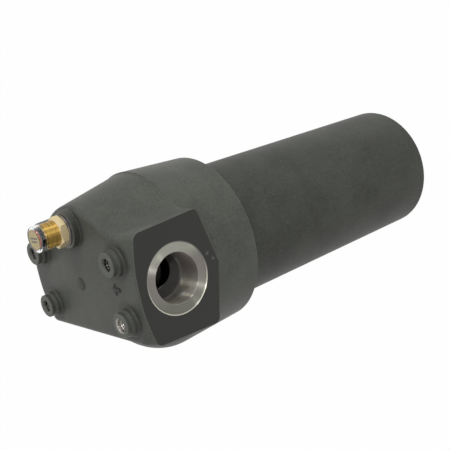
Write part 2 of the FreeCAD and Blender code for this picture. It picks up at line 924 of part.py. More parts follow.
def indicator_body():
    """Brass body: hexagon, grooved barrel, threaded shank, waist and sealed nose."""
    nose_end, piston_low, piston_top, roof, floor = indicator_depths()
    thread = indicator_thread_radius - running_fit
    waist = indicator_waist_radius
    nose = indicator_nose_radius - running_fit
    barrel = barrel_radius
    base = indicator_hex_base
    front = indicator_hex_front
    thread_end = -indicator_seat_depth - indicator_thread_length
    waist_end = thread_end - indicator_waist_length
    groove = nose - nose_seal_depth
    seal_top = waist_end - nose_seal_drop
    bore = piston_diameter / 2 + running_fit
    circlip = bore + piston_ring_depth
    neck = lens_bore_radius - running_fit
    well = neck - signal_gap - 2 * signal_wall
    profile = [
        (bore, nose_end),
        (nose, nose_end, -nose_edge),
        (nose, seal_top - nose_seal_width),
        (groove, seal_top - nose_seal_width),
        (groove, seal_top),
        (nose, seal_top),
        (nose, waist_end),
        (waist, waist_end),
        (waist, thread_end),
        (thread, thread_end + thread - waist),
        (thread, base),
        (thread, front),
        (barrel, front),
    ]
    for k in range(barrel_groove_count):
        middle = front + barrel_groove_start + barrel_groove_pitch * k
        profile += [
            (barrel, middle - barrel_groove_width / 2),
            (barrel - barrel_groove_depth, middle - barrel_groove_width / 2),
            (barrel - barrel_groove_depth, middle + barrel_groove_width / 2),
            (barrel, middle + barrel_groove_width / 2),
        ]
    profile += [
        (barrel, barrel_front),
        (neck, barrel_front),
        (neck, barrel_front + lens_joint),
        (neck - signal_gap, barrel_front + lens_joint),
        (neck - signal_gap, barrel_front - signal_sink),
        (well, barrel_front - signal_sink),
        (well, floor),
        (0, floor),
        (0, roof),
        (bore, roof),
        (bore, piston_low),
        (circlip, piston_low),
        (circlip, piston_low - piston_ring_thickness),
        (bore, piston_low - piston_ring_thickness),
    ]
    body = turned(profile)
    corner = hex_across_flats / math.sqrt(3)
    slope = math.tan(math.radians(hex_chamfer_angle))
    wide = corner + cut_margin
    chamfer = turned([
        (0, base),
        (hex_across_flats / 2, base),
        (wide, base + (wide - hex_across_flats / 2) * slope),
        (wide, front - (wide - hex_across_flats / 2) * slope),
        (hex_across_flats / 2, front),
        (0, front),
    ])
    nut = hexagon(hex_across_flats, base, front).common(chamfer)
    nut.rotate(V(0, 0, 0), V(0, 0, 1), 30)
    nut = nut.cut(disc(thread - cut_margin, base - cut_margin, front + cut_margin))
    holes = []
    for turn in (0, 90):
        middle = (thread_end + waist_end) / 2
        hole = Part.makeCylinder(oil_hole_radius, 2 * nose, V(-nose, 0, middle), V(1, 0, 0))
        hole.rotate(V(0, 0, 0), V(0, 0, 1), turn)
        holes.append(hole)
    return on_indicator(body.fuse(nut).cut(holes).removeSplitter())


def indicator_washer():
    """Bonded steel washer under the hexagon."""
    inner = indicator_thread_radius + washer_bore_clearance
    return on_indicator(ring(inner, washer_radius, -indicator_seat_depth, indicator_hex_base, washer_edge))


def nose_o_ring():
    """O-ring on the nose, between the dirty and the clean drilling."""
    nose = indicator_nose_radius - running_fit
    top = -indicator_seat_depth - indicator_thread_length - indicator_waist_length - nose_seal_drop
    return on_indicator(squeezed_ring(nose - nose_seal_depth, indicator_nose_radius,
                                      top - nose_seal_width + nose_seal_gap, top - nose_seal_gap))


def indicator_piston():
    """Piston that feels the pressure difference."""
    nose_end, piston_low, piston_top, roof, floor = indicator_depths()
    radius = piston_diameter / 2
    pilot = piston_spring_radius - piston_spring_wire / 2 - piston_spring_gap
    pocket = piston_magnet_diameter / 2
    return on_indicator(turned([
        (0, piston_low),
        (radius, piston_low, -piston_edge),
        (radius, piston_top - piston_shoulder),
        (pilot, piston_top - piston_shoulder),
        (pilot, piston_top),
        (pocket, piston_top),
        (pocket, piston_top - magnet_height),
        (0, piston_top - magnet_height),
    ]))


def piston_magnet():
    """Magnet set in the piston's front end."""
    nose_end, piston_low, piston_top, roof, floor = indicator_depths()
    return on_indicator(disc(piston_magnet_diameter / 2, piston_top - magnet_height, piston_top))


def piston_spring():
    """Spring that the pressure difference has to overcome."""
    nose_end, piston_low, piston_top, roof, floor = indicator_depths()
    return on_indicator(coil(piston_spring_radius, piston_spring_wire, piston_spring_turns,
                             piston_top - piston_shoulder + spring_seat_gap, roof - spring_seat_gap))


def piston_snap_ring():
    """Open ring that keeps the piston in its bore."""
    nose_end, piston_low, piston_top, roof, floor = indicator_depths()
    outer = piston_diameter / 2 + running_fit + piston_ring_depth - seal_slack
    return on_indicator(split_ring(outer - 2 * piston_ring_depth, outer, piston_low - piston_ring_thickness,
                                   piston_low - seal_slack, 3 * piston_ring_depth))


def red_signal():
    """Red sleeve with a stem that stands over the barrier, pushed forward by the magnets."""
    nose_end, piston_low, piston_top, roof, floor = indicator_depths()
    outer = lens_bore_radius - running_fit - 2 * signal_gap
    stem = outer - 2 * signal_wall
    foot = floor + seal_slack
    low = barrel_front - signal_sink + signal_gap
    high = label_front - label_thickness - signal_front_gap - signal_travel
    magnet = signal_magnet_diameter / 2
    return on_indicator(turned([
        (0, foot + magnet_height),
        (magnet, foot + magnet_height),
        (magnet, foot),
        (stem, foot),
        (stem, low),
        (outer, low),
        (outer, high),
        (outer - signal_wall, high),
        (outer - signal_wall, low + signal_wall),
        (stem - signal_wall, low + signal_wall),
        (stem - signal_wall, foot + magnet_height + signal_wall),
        (0, foot + magnet_height + signal_wall),
    ]))


def signal_magnet():
    """Magnet in the signal's foot, facing the piston's magnet."""
    nose_end, piston_low, piston_top, roof, floor = indicator_depths()
    foot = floor + seal_slack
    return on_indicator(disc(signal_magnet_diameter / 2, foot, foot + magnet_height))


def indicator_lens():
    """Clear cap over the signal, pushed on the barrel's neck."""
    front = barrel_front + lens_length
    return on_indicator(turned([
        (lens_bore_radius, barrel_front),
        (lens_radius, barrel_front),
        (lens_radius, front, lens_round),
        (0, front),
        (0, label_front),
        (lens_bore_radius, label_front, -lens_round / 2),
    ]))


def indicator_label():
    """Flat plate behind the cap's front wall."""
    return on_indicator(disc(lens_bore_radius - label_margin, label_front - label_thickness, label_front))


PARTS = {
    "filter_head": filter_head,
    "bowl": bowl,
    "bowl_o_ring": bowl_o_ring,
    "bowl_backup_ring": bowl_backup_ring,
    "element_top_cap": element_top_cap,
    "element_bottom_cap": element_bottom_cap,
    "element_core_tube": core_tube,
    "element_media": element_media,
    "element_o_ring": spigot_o_ring,
    "bypass_valve_body": bypass_valve_body,
    "bypass_poppet": bypass_poppet,
    "bypass_guide": bypass_guide,
    "bypass_snap_ring": bypass_snap_ring,
    "bypass_spring": bypass_spring,
    "indicator_body": indicator_body,
    "indicator_washer": indicator_washer,
    "indicator_nose_o_ring": nose_o_ring,
    "indicator_piston": indicator_piston,
    "indicator_piston_magnet": piston_magnet,
    "indicator_spring": piston_spring,
    "indicator_snap_ring": piston_snap_ring,
    "indicator_signal": red_signal,
    "indicator_signal_magnet": signal_magnet,
    "indicator_lens": indicator_lens,
    "indicator_label": indicator_label,
}


def main():
    """Writes one file for each sub-part."""
    os.makedirs("parts", exist_ok=True)
    for name, build in PARTS.items():
        shape = build()
        if len(shape.Solids) == 1:
            shape = shape.Solids[0]
        if not shape.isValid():
            raise ValueError(name + " is not a valid solid")
        shape.exportStep("parts/" + name + ".step")
        print(name, len(shape.Solids), round(shape.Volume / 1000, 2), "cm3")


if __name__ == "__main__":
    main()
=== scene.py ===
"""Dresses the high pressure filter: coat, bare steel, threads, cast marks, indicator and studio.

Lengths are in metres, in the filter's own frame. The filter axis is Z with the head up, the inlet
port faces +X, and the clogging indicator stands at +Y. Sizes that the filter already has are read
from its nodes and mounts.
"""
import json
import math

import bpy
from bpy.props import FloatProperty, FloatVectorProperty, IntProperty, PointerProperty
from mathutils import Matrix, Vector


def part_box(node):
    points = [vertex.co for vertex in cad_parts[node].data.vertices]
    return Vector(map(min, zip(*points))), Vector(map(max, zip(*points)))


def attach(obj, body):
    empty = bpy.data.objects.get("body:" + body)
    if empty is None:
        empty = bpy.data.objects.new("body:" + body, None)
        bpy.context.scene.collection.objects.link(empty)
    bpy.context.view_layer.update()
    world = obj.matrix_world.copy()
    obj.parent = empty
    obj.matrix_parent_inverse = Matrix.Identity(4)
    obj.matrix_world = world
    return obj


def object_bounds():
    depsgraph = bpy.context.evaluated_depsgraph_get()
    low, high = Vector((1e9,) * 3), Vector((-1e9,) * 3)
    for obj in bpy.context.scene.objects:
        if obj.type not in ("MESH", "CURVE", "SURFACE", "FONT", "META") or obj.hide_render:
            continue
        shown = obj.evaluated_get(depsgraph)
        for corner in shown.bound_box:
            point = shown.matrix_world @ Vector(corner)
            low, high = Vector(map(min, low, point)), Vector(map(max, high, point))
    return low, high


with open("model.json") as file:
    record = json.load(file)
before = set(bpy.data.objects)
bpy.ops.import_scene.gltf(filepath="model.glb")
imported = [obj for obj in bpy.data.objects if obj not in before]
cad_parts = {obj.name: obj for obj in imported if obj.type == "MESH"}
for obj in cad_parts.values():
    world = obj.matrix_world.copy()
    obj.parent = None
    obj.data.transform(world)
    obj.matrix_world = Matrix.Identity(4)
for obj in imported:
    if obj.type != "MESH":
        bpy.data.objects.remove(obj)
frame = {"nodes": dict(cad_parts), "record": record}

bl_info = {
    "name": "High pressure filter dressing",
    "version": (1, 0, 0),
    "blender": (4, 5, 0),
    "location": "3D View > Sidebar > Filter",
    "description": "Finishes, threads, cast marks and studio for the high pressure filter",
    "category": "Object",
}

MM = 0.001

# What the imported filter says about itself
bare_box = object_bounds()
mounts = {mount["name"]: mount for mount in frame["record"]["mounts"]}
slot_of_node = {row["node"]: row["material_slot"] for row in frame["record"]["subparts"]}
pad_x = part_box("filter_head")[1].x
bowl_end_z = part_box("bowl")[0].z
lens_low, lens_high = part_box("indicator_lens")
label_low, label_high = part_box("indicator_label")
washer_back_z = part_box("indicator_washer")[0].z
signal_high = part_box("indicator_signal")[1]
port_z = mounts["inlet_port"]["pos_m"][2]
port_radius = mounts["inlet_port"]["dims"]["r_mm"] * MM
port_wall_length = mounts["inlet_port"]["dims"]["length_mm"] * MM
hole_pattern = mounts["mounting_holes"]["dims"]
hole_x = hole_pattern["spacing_x_mm"] * MM / 2
hole_y = hole_pattern["spacing_y_mm"] * MM / 2
hole_radius = hole_pattern["hole_r_mm"] * MM
indicator_y = (lens_low.y + lens_high.y) / 2

# Places on the filter that its boxes and mounts don't give
face_z = -10.0 * MM
port_inner_end = 24.0 * MM
spotface_radius = 29.75 * MM
hole_wall_top = 1.2 * MM
hole_wall_length = 20.8 * MM
countersink_radius = 6.3 * MM
boss_radius = 10.3 * MM
boss_foot_radius = 13.0 * MM
boss_edge_z = -0.7 * MM
indicator_seat_radius = 15.6 * MM
indicator_foot_radius = 17.6 * MM
hex_front_z = 4.6 * MM
chamber_top_z = -30.0 * MM
chamber_wide_z = -78.0 * MM
chamber_neck_radius = 44.0 * MM
seal_land_radius = 60.2 * MM
seal_land_inner_radius = 55.0 * MM
spigot_root_radius = 26.3 * MM
spigot_stop_z = -71.9 * MM
bowl_floor_depth = 30.0 * MM

# Wear: nicks on the inlet's port face as (y, z), cast pits on the front face as (x, y), and the least
# and the most that an edge is painted pale, as wear and as a painted highlight
face_nicks = [(-18.7 * MM, -9.7 * MM), (-32.7 * MM, -11.6 * MM), (10.3 * MM, -81.2 * MM),
              (4.3 * MM, -86.1 * MM), (45.7 * MM, -17.0 * MM)]
nick_radius = 2.4 * MM
cast_pits = [(27.7 * MM, 3.7 * MM), (36.4 * MM, -4.8 * MM), (48.5 * MM, -11.9 * MM)]
pit_radius = 1.0 * MM
edge_wear_and_highlight = (0.05, 0.5)

# Heights over a port's axis, along Y, where one colour gives way to the next, and the spotface's step. The
# lit wall, olive light and step bands place painted light and shade
lit_wall_band = (4 * MM, -13 * MM)
stain_band = (-6 * MM, -14 * MM)
rust_top = -8 * MM
olive_band = (6 * MM, 22 * MM)
olive_light_band = (0.0, 24 * MM)
step_band = (12 * MM, -12 * MM)
step_width = 0.8 * MM

# Flow arrow's shaft, as a share of its head's width. Its head takes half of its length
arrow_shaft_share = 0.36

# Bars printed on the label, as (start, end, distance above its middle)
print_bars = [(-6.6 * MM, 5.6 * MM, 1.2 * MM), (-5.4 * MM, 4.6 * MM, -1.6 * MM)]
print_half_width = 0.7 * MM

# Indicator: width of the label's rim, depth of its side's painted red glint and painted black shade, and the
# signal's wall and front rim
label_rim_width = 0.7 * MM
label_glint_depth = 0.05 * MM
label_shade_depth = 0.5 * MM
signal_wall = 0.5 * MM
signal_rim = 0.6 * MM

# Spacing of turning marks
face_marks_spacing = 0.28 * MM
bore_marks_spacing = 0.35 * MM
hex_marks_spacing = 0.22 * MM
barrel_marks_spacing = 0.3 * MM

# Tints that stand beside the colours in the settings
black = (0.02, 0.02, 0.02)
steel_stain = (0.24, 0.235, 0.21)
oil_stain = (0.30, 0.20, 0.09)
oily_iron = ((0.10, 0.10, 0.098), (0.15, 0.147, 0.14))
chamber_iron = (0.34, 0.335, 0.32)
# Painted light and shade on the spotface: olive shaded below and lit above, and the step with a painted
# shadow and a painted lit part
olive_shaded, olive_lit = (0.235, 0.235, 0.20), (0.44, 0.44, 0.38)
step_shaded, step_lit = (0.20, 0.20, 0.18), (0.75, 0.73, 0.62)
dull_thread = ((0.06, 0.055, 0.05), (0.10, 0.0975, 0.09))
clean_thread = ((0.36, 0.33, 0.30), (0.60, 0.585, 0.54))
brass_tarnish = (0.36, 0.22, 0.07)
# Pale brass painted on sharp edges, as wear and as a painted highlight
brass_edge_highlight_and_wear = (0.95, 0.86, 0.62)
clear_plastic = ((0.93, 0.95, 0.93), (0.98, 0.99, 0.98))
passed_light = (0.92, 0.93, 0.92)
label_foil = ((0.92, 0.69, 0.23), (1.0, 0.80, 0.31))
label_rim = (0.50, 0.33, 0.14)
# Painted red glint on the label's side edge, standing for the red signal seen through the cap
label_red_glint = (0.50, 0.06, 0.045)
label_ink = ((0.03, 0.03, 0.035), (0.07, 0.07, 0.07))
# Painted shade: black painted inside the signal sleeve and on its front rim
signal_painted_shade = (0.012, 0.012, 0.012)
signal_red = ((0.55, 0.015, 0.012), (0.70, 0.03, 0.02))
floor_cloth = ((0.86, 0.86, 0.86), (0.9, 0.9, 0.9))

# Inner pieces by slot: two tints, roughness, and the grain's width and height or the marks' spacing
soft_slots = {
    "seal_rubber": ((0.012, 0.012, 0.013), (0.03, 0.03, 0.032), 0.55, 0.6 * MM, 0.01 * MM),
    "backup_plastic": ((0.72, 0.70, 0.62), (0.85, 0.83, 0.76), 0.4, 1.5 * MM, 0.004 * MM),
    "filter_paper": ((0.62, 0.55, 0.42), (0.80, 0.74, 0.60), 0.9, 0.5 * MM, 0.03 * MM),
}
metal_slots = {
    "plated_steel": ((0.17, 0.16, 0.165), (0.24, 0.22, 0.215), 0.3, 0.5 * MM),
    "turned_steel": ((0.46, 0.46, 0.46), (0.58, 0.57, 0.56), 0.26, 0.25 * MM),
    "spring_steel": ((0.22, 0.22, 0.23), (0.34, 0.33, 0.32), 0.34, 0.4 * MM),
    "magnet_plating": ((0.62, 0.62, 0.64), (0.75, 0.74, 0.72), 0.12, 0.6 * MM),
}

# Camera at the photograph's place and angle: its right, up and back directions
camera_place = Vector((0.56977, 0.16445, 0.27806))
camera_axes = (Vector((0.64138, -0.19691, -0.74152)), Vector((-0.04195, 0.95606, -0.29017)),
               Vector((0.76607, 0.21722, 0.60494)))

# Lamps: direction as shares of the camera's right, up and back, and width in degrees
lamp_aims = {
    "key": ((-0.5, 0.6, 0.6), 30),
    "fill": ((0.05, 0.19, 1.0), 4),
    "glint": ((-0.06, 0.83, 0.55), 6),
    "rim": ((0.15, -0.95, 0.0), 20),
}


class CoatSettings(bpy.types.PropertyGroup):
    """Dark satin coat on the head and the bowl."""
    head_colour: FloatVectorProperty(
        name="Head coat", description="Colour of the coat on the cast head",
        default=(0.067, 0.071, 0.060), size=3, subtype="COLOR", min=0, max=1)
    bowl_colour: FloatVectorProperty(
        name="Bowl coat", description="Colour of the coat on the bowl",
        default=(0.053, 0.056, 0.048), size=3, subtype="COLOR", min=0, max=1)
    pad_colour: FloatVectorProperty(
        name="Port face", description="Colour of the smooth milled face round a port",
        default=(0.031, 0.031, 0.029), size=3, subtype="COLOR", min=0, max=1)
    # Besides dust and rubbed grains, this colour is painted on sharp edges as a painted highlight
    dust_and_edge_light_colour: FloatVectorProperty(
        name="Dust", description="Colour of dust and rubbed grains",
        default=(0.30, 0.30, 0.27), size=3, subtype="COLOR", min=0, max=1)
    grain_size: FloatProperty(
        name="Grain", description="Width of one grain of the casting skin",
        default=1.5 * MM, unit="LENGTH", min=0.1 * MM)
    grain_height: FloatProperty(
        name="Grain height", description="Height of the casting skin's grains",
        default=0.05 * MM, unit="LENGTH", min=0)
    gloss: FloatProperty(
        name="Gloss", description="Share of the usual mirror light that the coat gives back",
        default=0.28, subtype="FACTOR", min=0, max=1)
    edge_width: FloatProperty(
        name="Edge", description="Width over which an edge catches the light",
        default=0.9 * MM, unit="LENGTH", min=0)


class MetalSettings(bpy.types.PropertyGroup):
    """Bare metals."""
    steel_colour: FloatVectorProperty(
        name="Steel", description="Bare turned steel",
        default=(0.290, 0.285, 0.255), size=3, subtype="COLOR", min=0, max=1)
    warm_steel_colour: FloatVectorProperty(
        name="Warm steel", description="Tint of the steel where it has taken colour",
        default=(0.285, 0.248, 0.238), size=3, subtype="COLOR", min=0, max=1)
    # Painted light: pale colour painted on the lower part of a port's wall, where the light falls
    lit_wall_colour: FloatVectorProperty(
        name="Oiled steel", description="Pale tint of the steel low in a port, where oil has dried",
        default=(0.40, 0.392, 0.335), size=3, subtype="COLOR", min=0, max=1)
    rust_colour: FloatVectorProperty(
        name="Rust", description="Rust specks in the port",
        default=(0.13, 0.06, 0.03), size=3, subtype="COLOR", min=0, max=1)
    brass_colour: FloatVectorProperty(
        name="Brass", description="Turned brass of the indicator",
        default=(0.46, 0.295, 0.07), size=3, subtype="COLOR", min=0, max=1)
    pale_brass_colour: FloatVectorProperty(
        name="Pale brass", description="Milled brass of the hexagon",
        default=(0.72, 0.59, 0.34), size=3, subtype="COLOR", min=0, max=1)


class ThreadSettings(bpy.types.PropertyGroup):
    """Threads that can be seen in the ports and the fixing holes."""
    port_pitch: FloatProperty(
        name="Port pitch", description="Pitch of the port's pipe thread",
        default=2.309 * MM, unit="LENGTH", min=0.2 * MM)
    port_depth: FloatProperty(
        name="Port depth", description="Height of the port's thread",
        default=0.15 * MM, unit="LENGTH", min=0.05 * MM)
    hole_pitch: FloatProperty(
        name="Hole pitch", description="Pitch of the fixing holes' thread",
        default=1.75 * MM, unit="LENGTH", min=0.2 * MM)
    hole_depth: FloatProperty(
        name="Hole depth", description="Height of the fixing holes' thread",
        default=0.5 * MM, unit="LENGTH", min=0.05 * MM)
    port_steps: IntProperty(
        name="Port steps", description="Straight steps in one turn of the port's thread",
        default=96, min=12, max=256)
    hole_steps: IntProperty(
        name="Hole steps", description="Straight steps in one turn of a fixing hole's thread",
        default=40, min=12, max=256)


class MarkSettings(bpy.types.PropertyGroup):
    """Raised marks on the casting and print on the indicator's label."""
    arrow_centre: FloatVectorProperty(
        name="Arrow centre", description="Place of the flow arrow on the head's face",
        default=(51.8 * MM, 0.6 * MM), size=2, subtype="XYZ", unit="LENGTH")
    arrow_length: FloatProperty(
        name="Arrow length", description="Length of the flow arrow",
        default=13.0 * MM, unit="LENGTH", min=1 * MM)
    arrow_width: FloatProperty(
        name="Arrow width", description="Width of the flow arrow's head",
        default=11.0 * MM, unit="LENGTH", min=1 * MM)
    arrow_height: FloatProperty(
        name="Arrow height", description="Height of the flow arrow over the face",
        default=1.0 * MM, unit="LENGTH", min=0.1 * MM)
    disc_centre: FloatVectorProperty(
        name="Disc centre", description="Place of the round casting mark on the head's face",
        default=(-4.3 * MM, -0.6 * MM), size=2, subtype="XYZ", unit="LENGTH")
    disc_radius: FloatProperty(
        name="Disc radius", description="Radius of the round casting mark",
        default=6.3 * MM, unit="LENGTH", min=1 * MM)
    disc_height: FloatProperty(
        name="Disc height", description="Height of the round casting mark over the face",
        default=0.6 * MM, unit="LENGTH", min=0.05 * MM)
    print_height: FloatProperty(
        name="Print height", description="Thickness of the bars printed on the label",
        default=0.06 * MM, unit="LENGTH", min=0.01 * MM)


class StudioSettings(bpy.types.PropertyGroup):
    """Floor, background, lamps and camera."""
    floor_gap: FloatProperty(
        name="Floor gap", description="Distance from the filter's lowest point to the floor",
        default=40 * MM, unit="LENGTH", min=0)
    floor_radius: FloatProperty(
        name="Floor radius", description="Radius of the round floor",
        default=5.0, unit="LENGTH", min=1)
    floor_glow: FloatProperty(
        name="Floor glow", description="Share of the floor that looks plain white to the camera",
        default=0.98, subtype="FACTOR", min=0, max=1)
    room_light: FloatProperty(
        name="Room light", description="Even light from all sides",
        default=0.38, min=0)
    key_light: FloatProperty(
        name="Key light", description="Strength of the lamp from above and the indicator's side",
        default=0.6, min=0)
    fill_light: FloatProperty(
        name="Fill light", description="Strength of the lamp from the camera's side",
        default=0.9, min=0)
    glint_light: FloatProperty(
        name="Glint light", description="Strength of the small lamp that draws highlights on brass and steel",
        default=0.6, min=0)
    rim_light: FloatProperty(
        name="Rim light", description="Strength of the lamp from below the bowl",
        default=0.25, min=0)
    lens: FloatProperty(
        name="Lens", description="Focal length of the camera, in millimetres",
        default=61.204, min=10)


def settings(name):
    """Settings of one group, as they stand in the scene."""
    return getattr(bpy.context.scene, name)


def colour4(value):
    """Three or four numbers as a colour with alpha."""
    return (*tuple(value)[:3], 1.0)


def shaded(colour, factor):
    """Colour made darker or lighter by a factor."""
    return tuple(factor * part for part in colour)


class Finish:
    """Node tree of one finish. Its patterns lie in the piece's own coordinates, in metres."""

    def __init__(self, name):
        self.material = bpy.data.materials.new(name)
        self.material.use_nodes = True
        self.tree = self.material.node_tree
        self.tree.nodes.clear()
        self.place = self.add("ShaderNodeTexCoord").outputs["Object"]
        self.x, self.y, self.z = self.add("ShaderNodeSeparateXYZ", {"Vector": self.place}).outputs

    def add(self, kind, inputs=None, **options):
        """A node with its options set and its inputs linked or filled."""
        node = self.tree.nodes.new(kind)
        for name, value in options.items():
            setattr(node, name, value)
        for name, value in (inputs or {}).items():
            self.feed(node.inputs[name], value)
        return node

    def feed(self, socket, value):
        """Links a socket to another one, or sets its value."""
        if isinstance(value, bpy.types.NodeSocket):
            self.tree.links.new(value, socket)
        elif socket.type == "RGBA":
            socket.default_value = colour4(value)
        else:
            socket.default_value = value

    def calc(self, operation, *values):
        """One step of arithmetic."""
        node = self.add("ShaderNodeMath", operation=operation)
        for socket, value in zip(node.inputs, values):
            self.feed(socket, value)
        return node.outputs[0]

    def distance(self, a, b):
        """Distance of (a, b) from (0, 0)."""
        squares = [self.calc("MULTIPLY", value, value) for value in (a, b)]
        return self.calc("SQRT", self.calc("ADD", *squares))

    def from_indicator(self):
        """Distance from the indicator's axis."""
        return self.distance(self.x, self.calc("SUBTRACT", self.y, indicator_y))

    def rise(self, value, low, high):
        """Climbs smoothly from 0 at low to 1 at high, or falls if low is above high."""
        node = self.add("ShaderNodeMapRange", {"Value": value, "From Min": low, "From Max": high},
                        interpolation_type="SMOOTHSTEP")
        return node.outputs["Result"]

    def chain(self, operation, first, *others):
        """The same step of arithmetic over several values in turn."""
        for other in others:
            first = self.calc(operation, first, other)
        return first

    def all_of(self, *masks):
        """1 where all masks are 1. A plain number among them scales the result."""
        return self.chain("MULTIPLY", *masks)

    def any_of(self, *masks):
        """1 where any mask is 1."""
        return self.chain("MAXIMUM", *masks)

    def over(self, value, limit):
        """1 where value is over the limit."""
        return self.calc("GREATER_THAN", value, limit)

    def under(self, value, limit):
        """1 where value is under the limit."""
        return self.calc("LESS_THAN", value, limit)

    def mix(self, factor, a, b):
        """Colour between a at 0 and b at 1."""
        node = self.add("ShaderNodeMix", data_type="RGBA")
        for index, value in ((0, factor), (6, a), (7, b)):
            self.feed(node.inputs[index], value)
        return node.outputs[2]

    def tint(self, colour, mask, share, other):
        """Colour with a share of another one laid over it where the mask is 1."""
        return self.mix(self.all_of(mask, share), colour, other)

    def grade(self, factor, a, b):
        """Number between a at 0 and b at 1."""
        node = self.add("ShaderNodeMix", data_type="FLOAT")
        for index, value in ((0, factor), (2, a), (3, b)):
            self.feed(node.inputs[index], value)
        return node.outputs[0]

    def noise(self, size, detail=2.0, roughness=0.5, stretch=(1, 1, 1)):
        """Cloudy pattern from 0 to 1 with features of the given width, stretched along X, Y and Z."""
        where = self.add("ShaderNodeVectorMath", {0: self.place, 1: tuple(1 / s for s in stretch)},
                         operation="MULTIPLY").outputs[0]
        node = self.add("ShaderNodeTexNoise", {"Vector": where, "Scale": 1 / size, "Detail": detail,
                                               "Roughness": roughness})
        return node.outputs["Fac"]

    def specks(self, spacing, radius, share):
        """1 in round specks of the given radius, in a share of the cells of that spacing."""
        cells = self.add("ShaderNodeTexVoronoi", {"Vector": self.place, "Scale": 1 / spacing})
        chance = self.add("ShaderNodeSeparateColor", {"Color": cells.outputs["Color"]}).outputs[0]
        near = self.rise(cells.outputs["Distance"], radius / spacing, 0.5 * radius / spacing)
        return self.all_of(near, self.under(chance, share))

    def spot(self, centre, radius, soft=0.5):
        """1 inside a ball round a point, fading over the outer share of its radius."""
        offset = self.add("ShaderNodeVectorMath", {0: self.place, 1: tuple(centre)}, operation="DISTANCE")
        return self.rise(offset.outputs["Value"], radius, radius * (1 - soft))

    def rings(self, value, spacing):
        """Soft wave from 0 to 1 that repeats over value with the given spacing, such as turning marks."""
        wave = self.calc("SINE", self.calc("MULTIPLY", value, 2 * math.pi / spacing))
        return self.calc("MULTIPLY_ADD", wave, 0.5, 0.5)

    def around(self, axis):
        """Direction round one of the piece's own axes, for highlights on turned metal."""
        return self.add("ShaderNodeTangent", direction_type="RADIAL", axis=axis).outputs["Tangent"]

    def edges(self, width):
        """(normal rounded over edges, mask that is 1 on sharp outer edges)."""
        rounded = self.add("ShaderNodeBevel", {"Radius": width}, samples=4).outputs["Normal"]
        plain = self.add("ShaderNodeNewGeometry").outputs["Normal"]
        along = self.add("ShaderNodeVectorMath", {0: rounded, 1: plain}, operation="DOT_PRODUCT")
        return rounded, self.rise(along.outputs["Value"], 0.995, 0.93)

    def bump(self, height, normal=None):
        """Surface normal over a height in metres."""
        inputs = {"Height": height, "Strength": 1.0, "Distance": 1.0}
        if normal is not None:
            inputs["Normal"] = normal
        return self.add("ShaderNodeBump", inputs).outputs["Normal"]

    def scaled(self, *parts):
        """Sum of (pattern, height) pairs."""
        total = 0.0
        for pattern, height in parts:
            total = self.calc("MULTIPLY_ADD", pattern, height, total)
        return total

    def done(self, colour, roughness, metallic, normal, lamps_pass=False, **fixed):
        """Closes the tree with the main shader and returns the material.

        With lamps_pass, lamps light what the material covers.
        """
        inputs = {"Base Color": colour, "Roughness": roughness, "Metallic": metallic, "Normal": normal}
        inputs.update({name.replace("_", " "): value for name, value in fixed.items()})
        surface = self.add("ShaderNodeBsdfPrincipled", inputs).outputs["BSDF"]
        if lamps_pass:
            rays = self.add("ShaderNodeLightPath").outputs
            free = self.any_of(rays["Is Shadow Ray"], rays["Is Diffuse Ray"])
            clear = self.add("ShaderNodeBsdfTransparent", {"Color": passed_light}).outputs[0]
            surface = self.add("ShaderNodeMixShader", {0: free, 1: surface, 2: clear}).outputs[0]
        self.add("ShaderNodeOutputMaterial", {"Surface": surface})
        return self.material


def paint(obj, material):
    """Gives the whole piece one material."""
    obj.data.materials.clear()
    obj.data.materials.append(material)


def paint_slot(slot, material):
    """Gives a material to every node of the filter that takes its finish from a slot."""
    for node, name in slot_of_node.items():
        if name == slot:
            paint(frame["nodes"][node], material)


def new_piece(name, points, faces, material):
    """Mesh piece that rides on the head, shaded smooth except over sharp creases."""
    mesh = bpy.data.meshes.new(name)
    mesh.from_pydata([tuple(point) for point in points], [], faces)
    mesh.validate()
    mesh.shade_smooth()
    mesh.set_sharp_from_angle(angle=math.radians(35))
    obj = bpy.data.objects.new(name, mesh)
    bpy.context.scene.collection.objects.link(obj)
    paint(obj, material)
    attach(obj, "head")


def thread_ridge(radius, depth, pitch, length, steps):
    """Right-handed ridge that stands inwards from a round wall about Z, from z = 0 to the length.

    The ridge's foot is sunk in the wall, and it runs out to nothing at its outer end.
    """
    sink = 0.03 * MM
    crest_start, crest_end = 0.43, 0.57
    profile = [(0.0, 0.0), (crest_start, 1.0), (crest_end, 1.0), (1.0, 0.0)]
    count = int((length / pitch - 1) * steps)
    points, faces = [], []
    for i in range(count + 1):
        turn = i / steps
        angle = 2 * math.pi * turn
        strength = min(1.0, (count - i) / steps)
        for share, height in profile:
            r = radius + sink - height * strength * (depth + sink)
            points.append(Vector((r * math.cos(angle), r * math.sin(angle), (turn + share) * pitch)))
    across = len(profile)
    for i in range(count):
        for k in range(across - 1):
            a = i * across + k
            faces.append((a, a + 1, a + across + 1, a + across))
    return points, faces


def inset(points, amount):
    """Outline moved inwards by the same amount on every side. It runs anticlockwise."""
    moved = []
    for i, here in enumerate(points):
        came = (here - points[i - 1]).normalized()
        goes = (points[(i + 1) % len(points)] - here).normalized()
        left_came = Vector((-came.y, came.x))
        left_goes = Vector((-goes.y, goes.x))
        moved.append(here + (left_came + left_goes) * (amount / (1 + left_came.dot(left_goes))))
    return moved


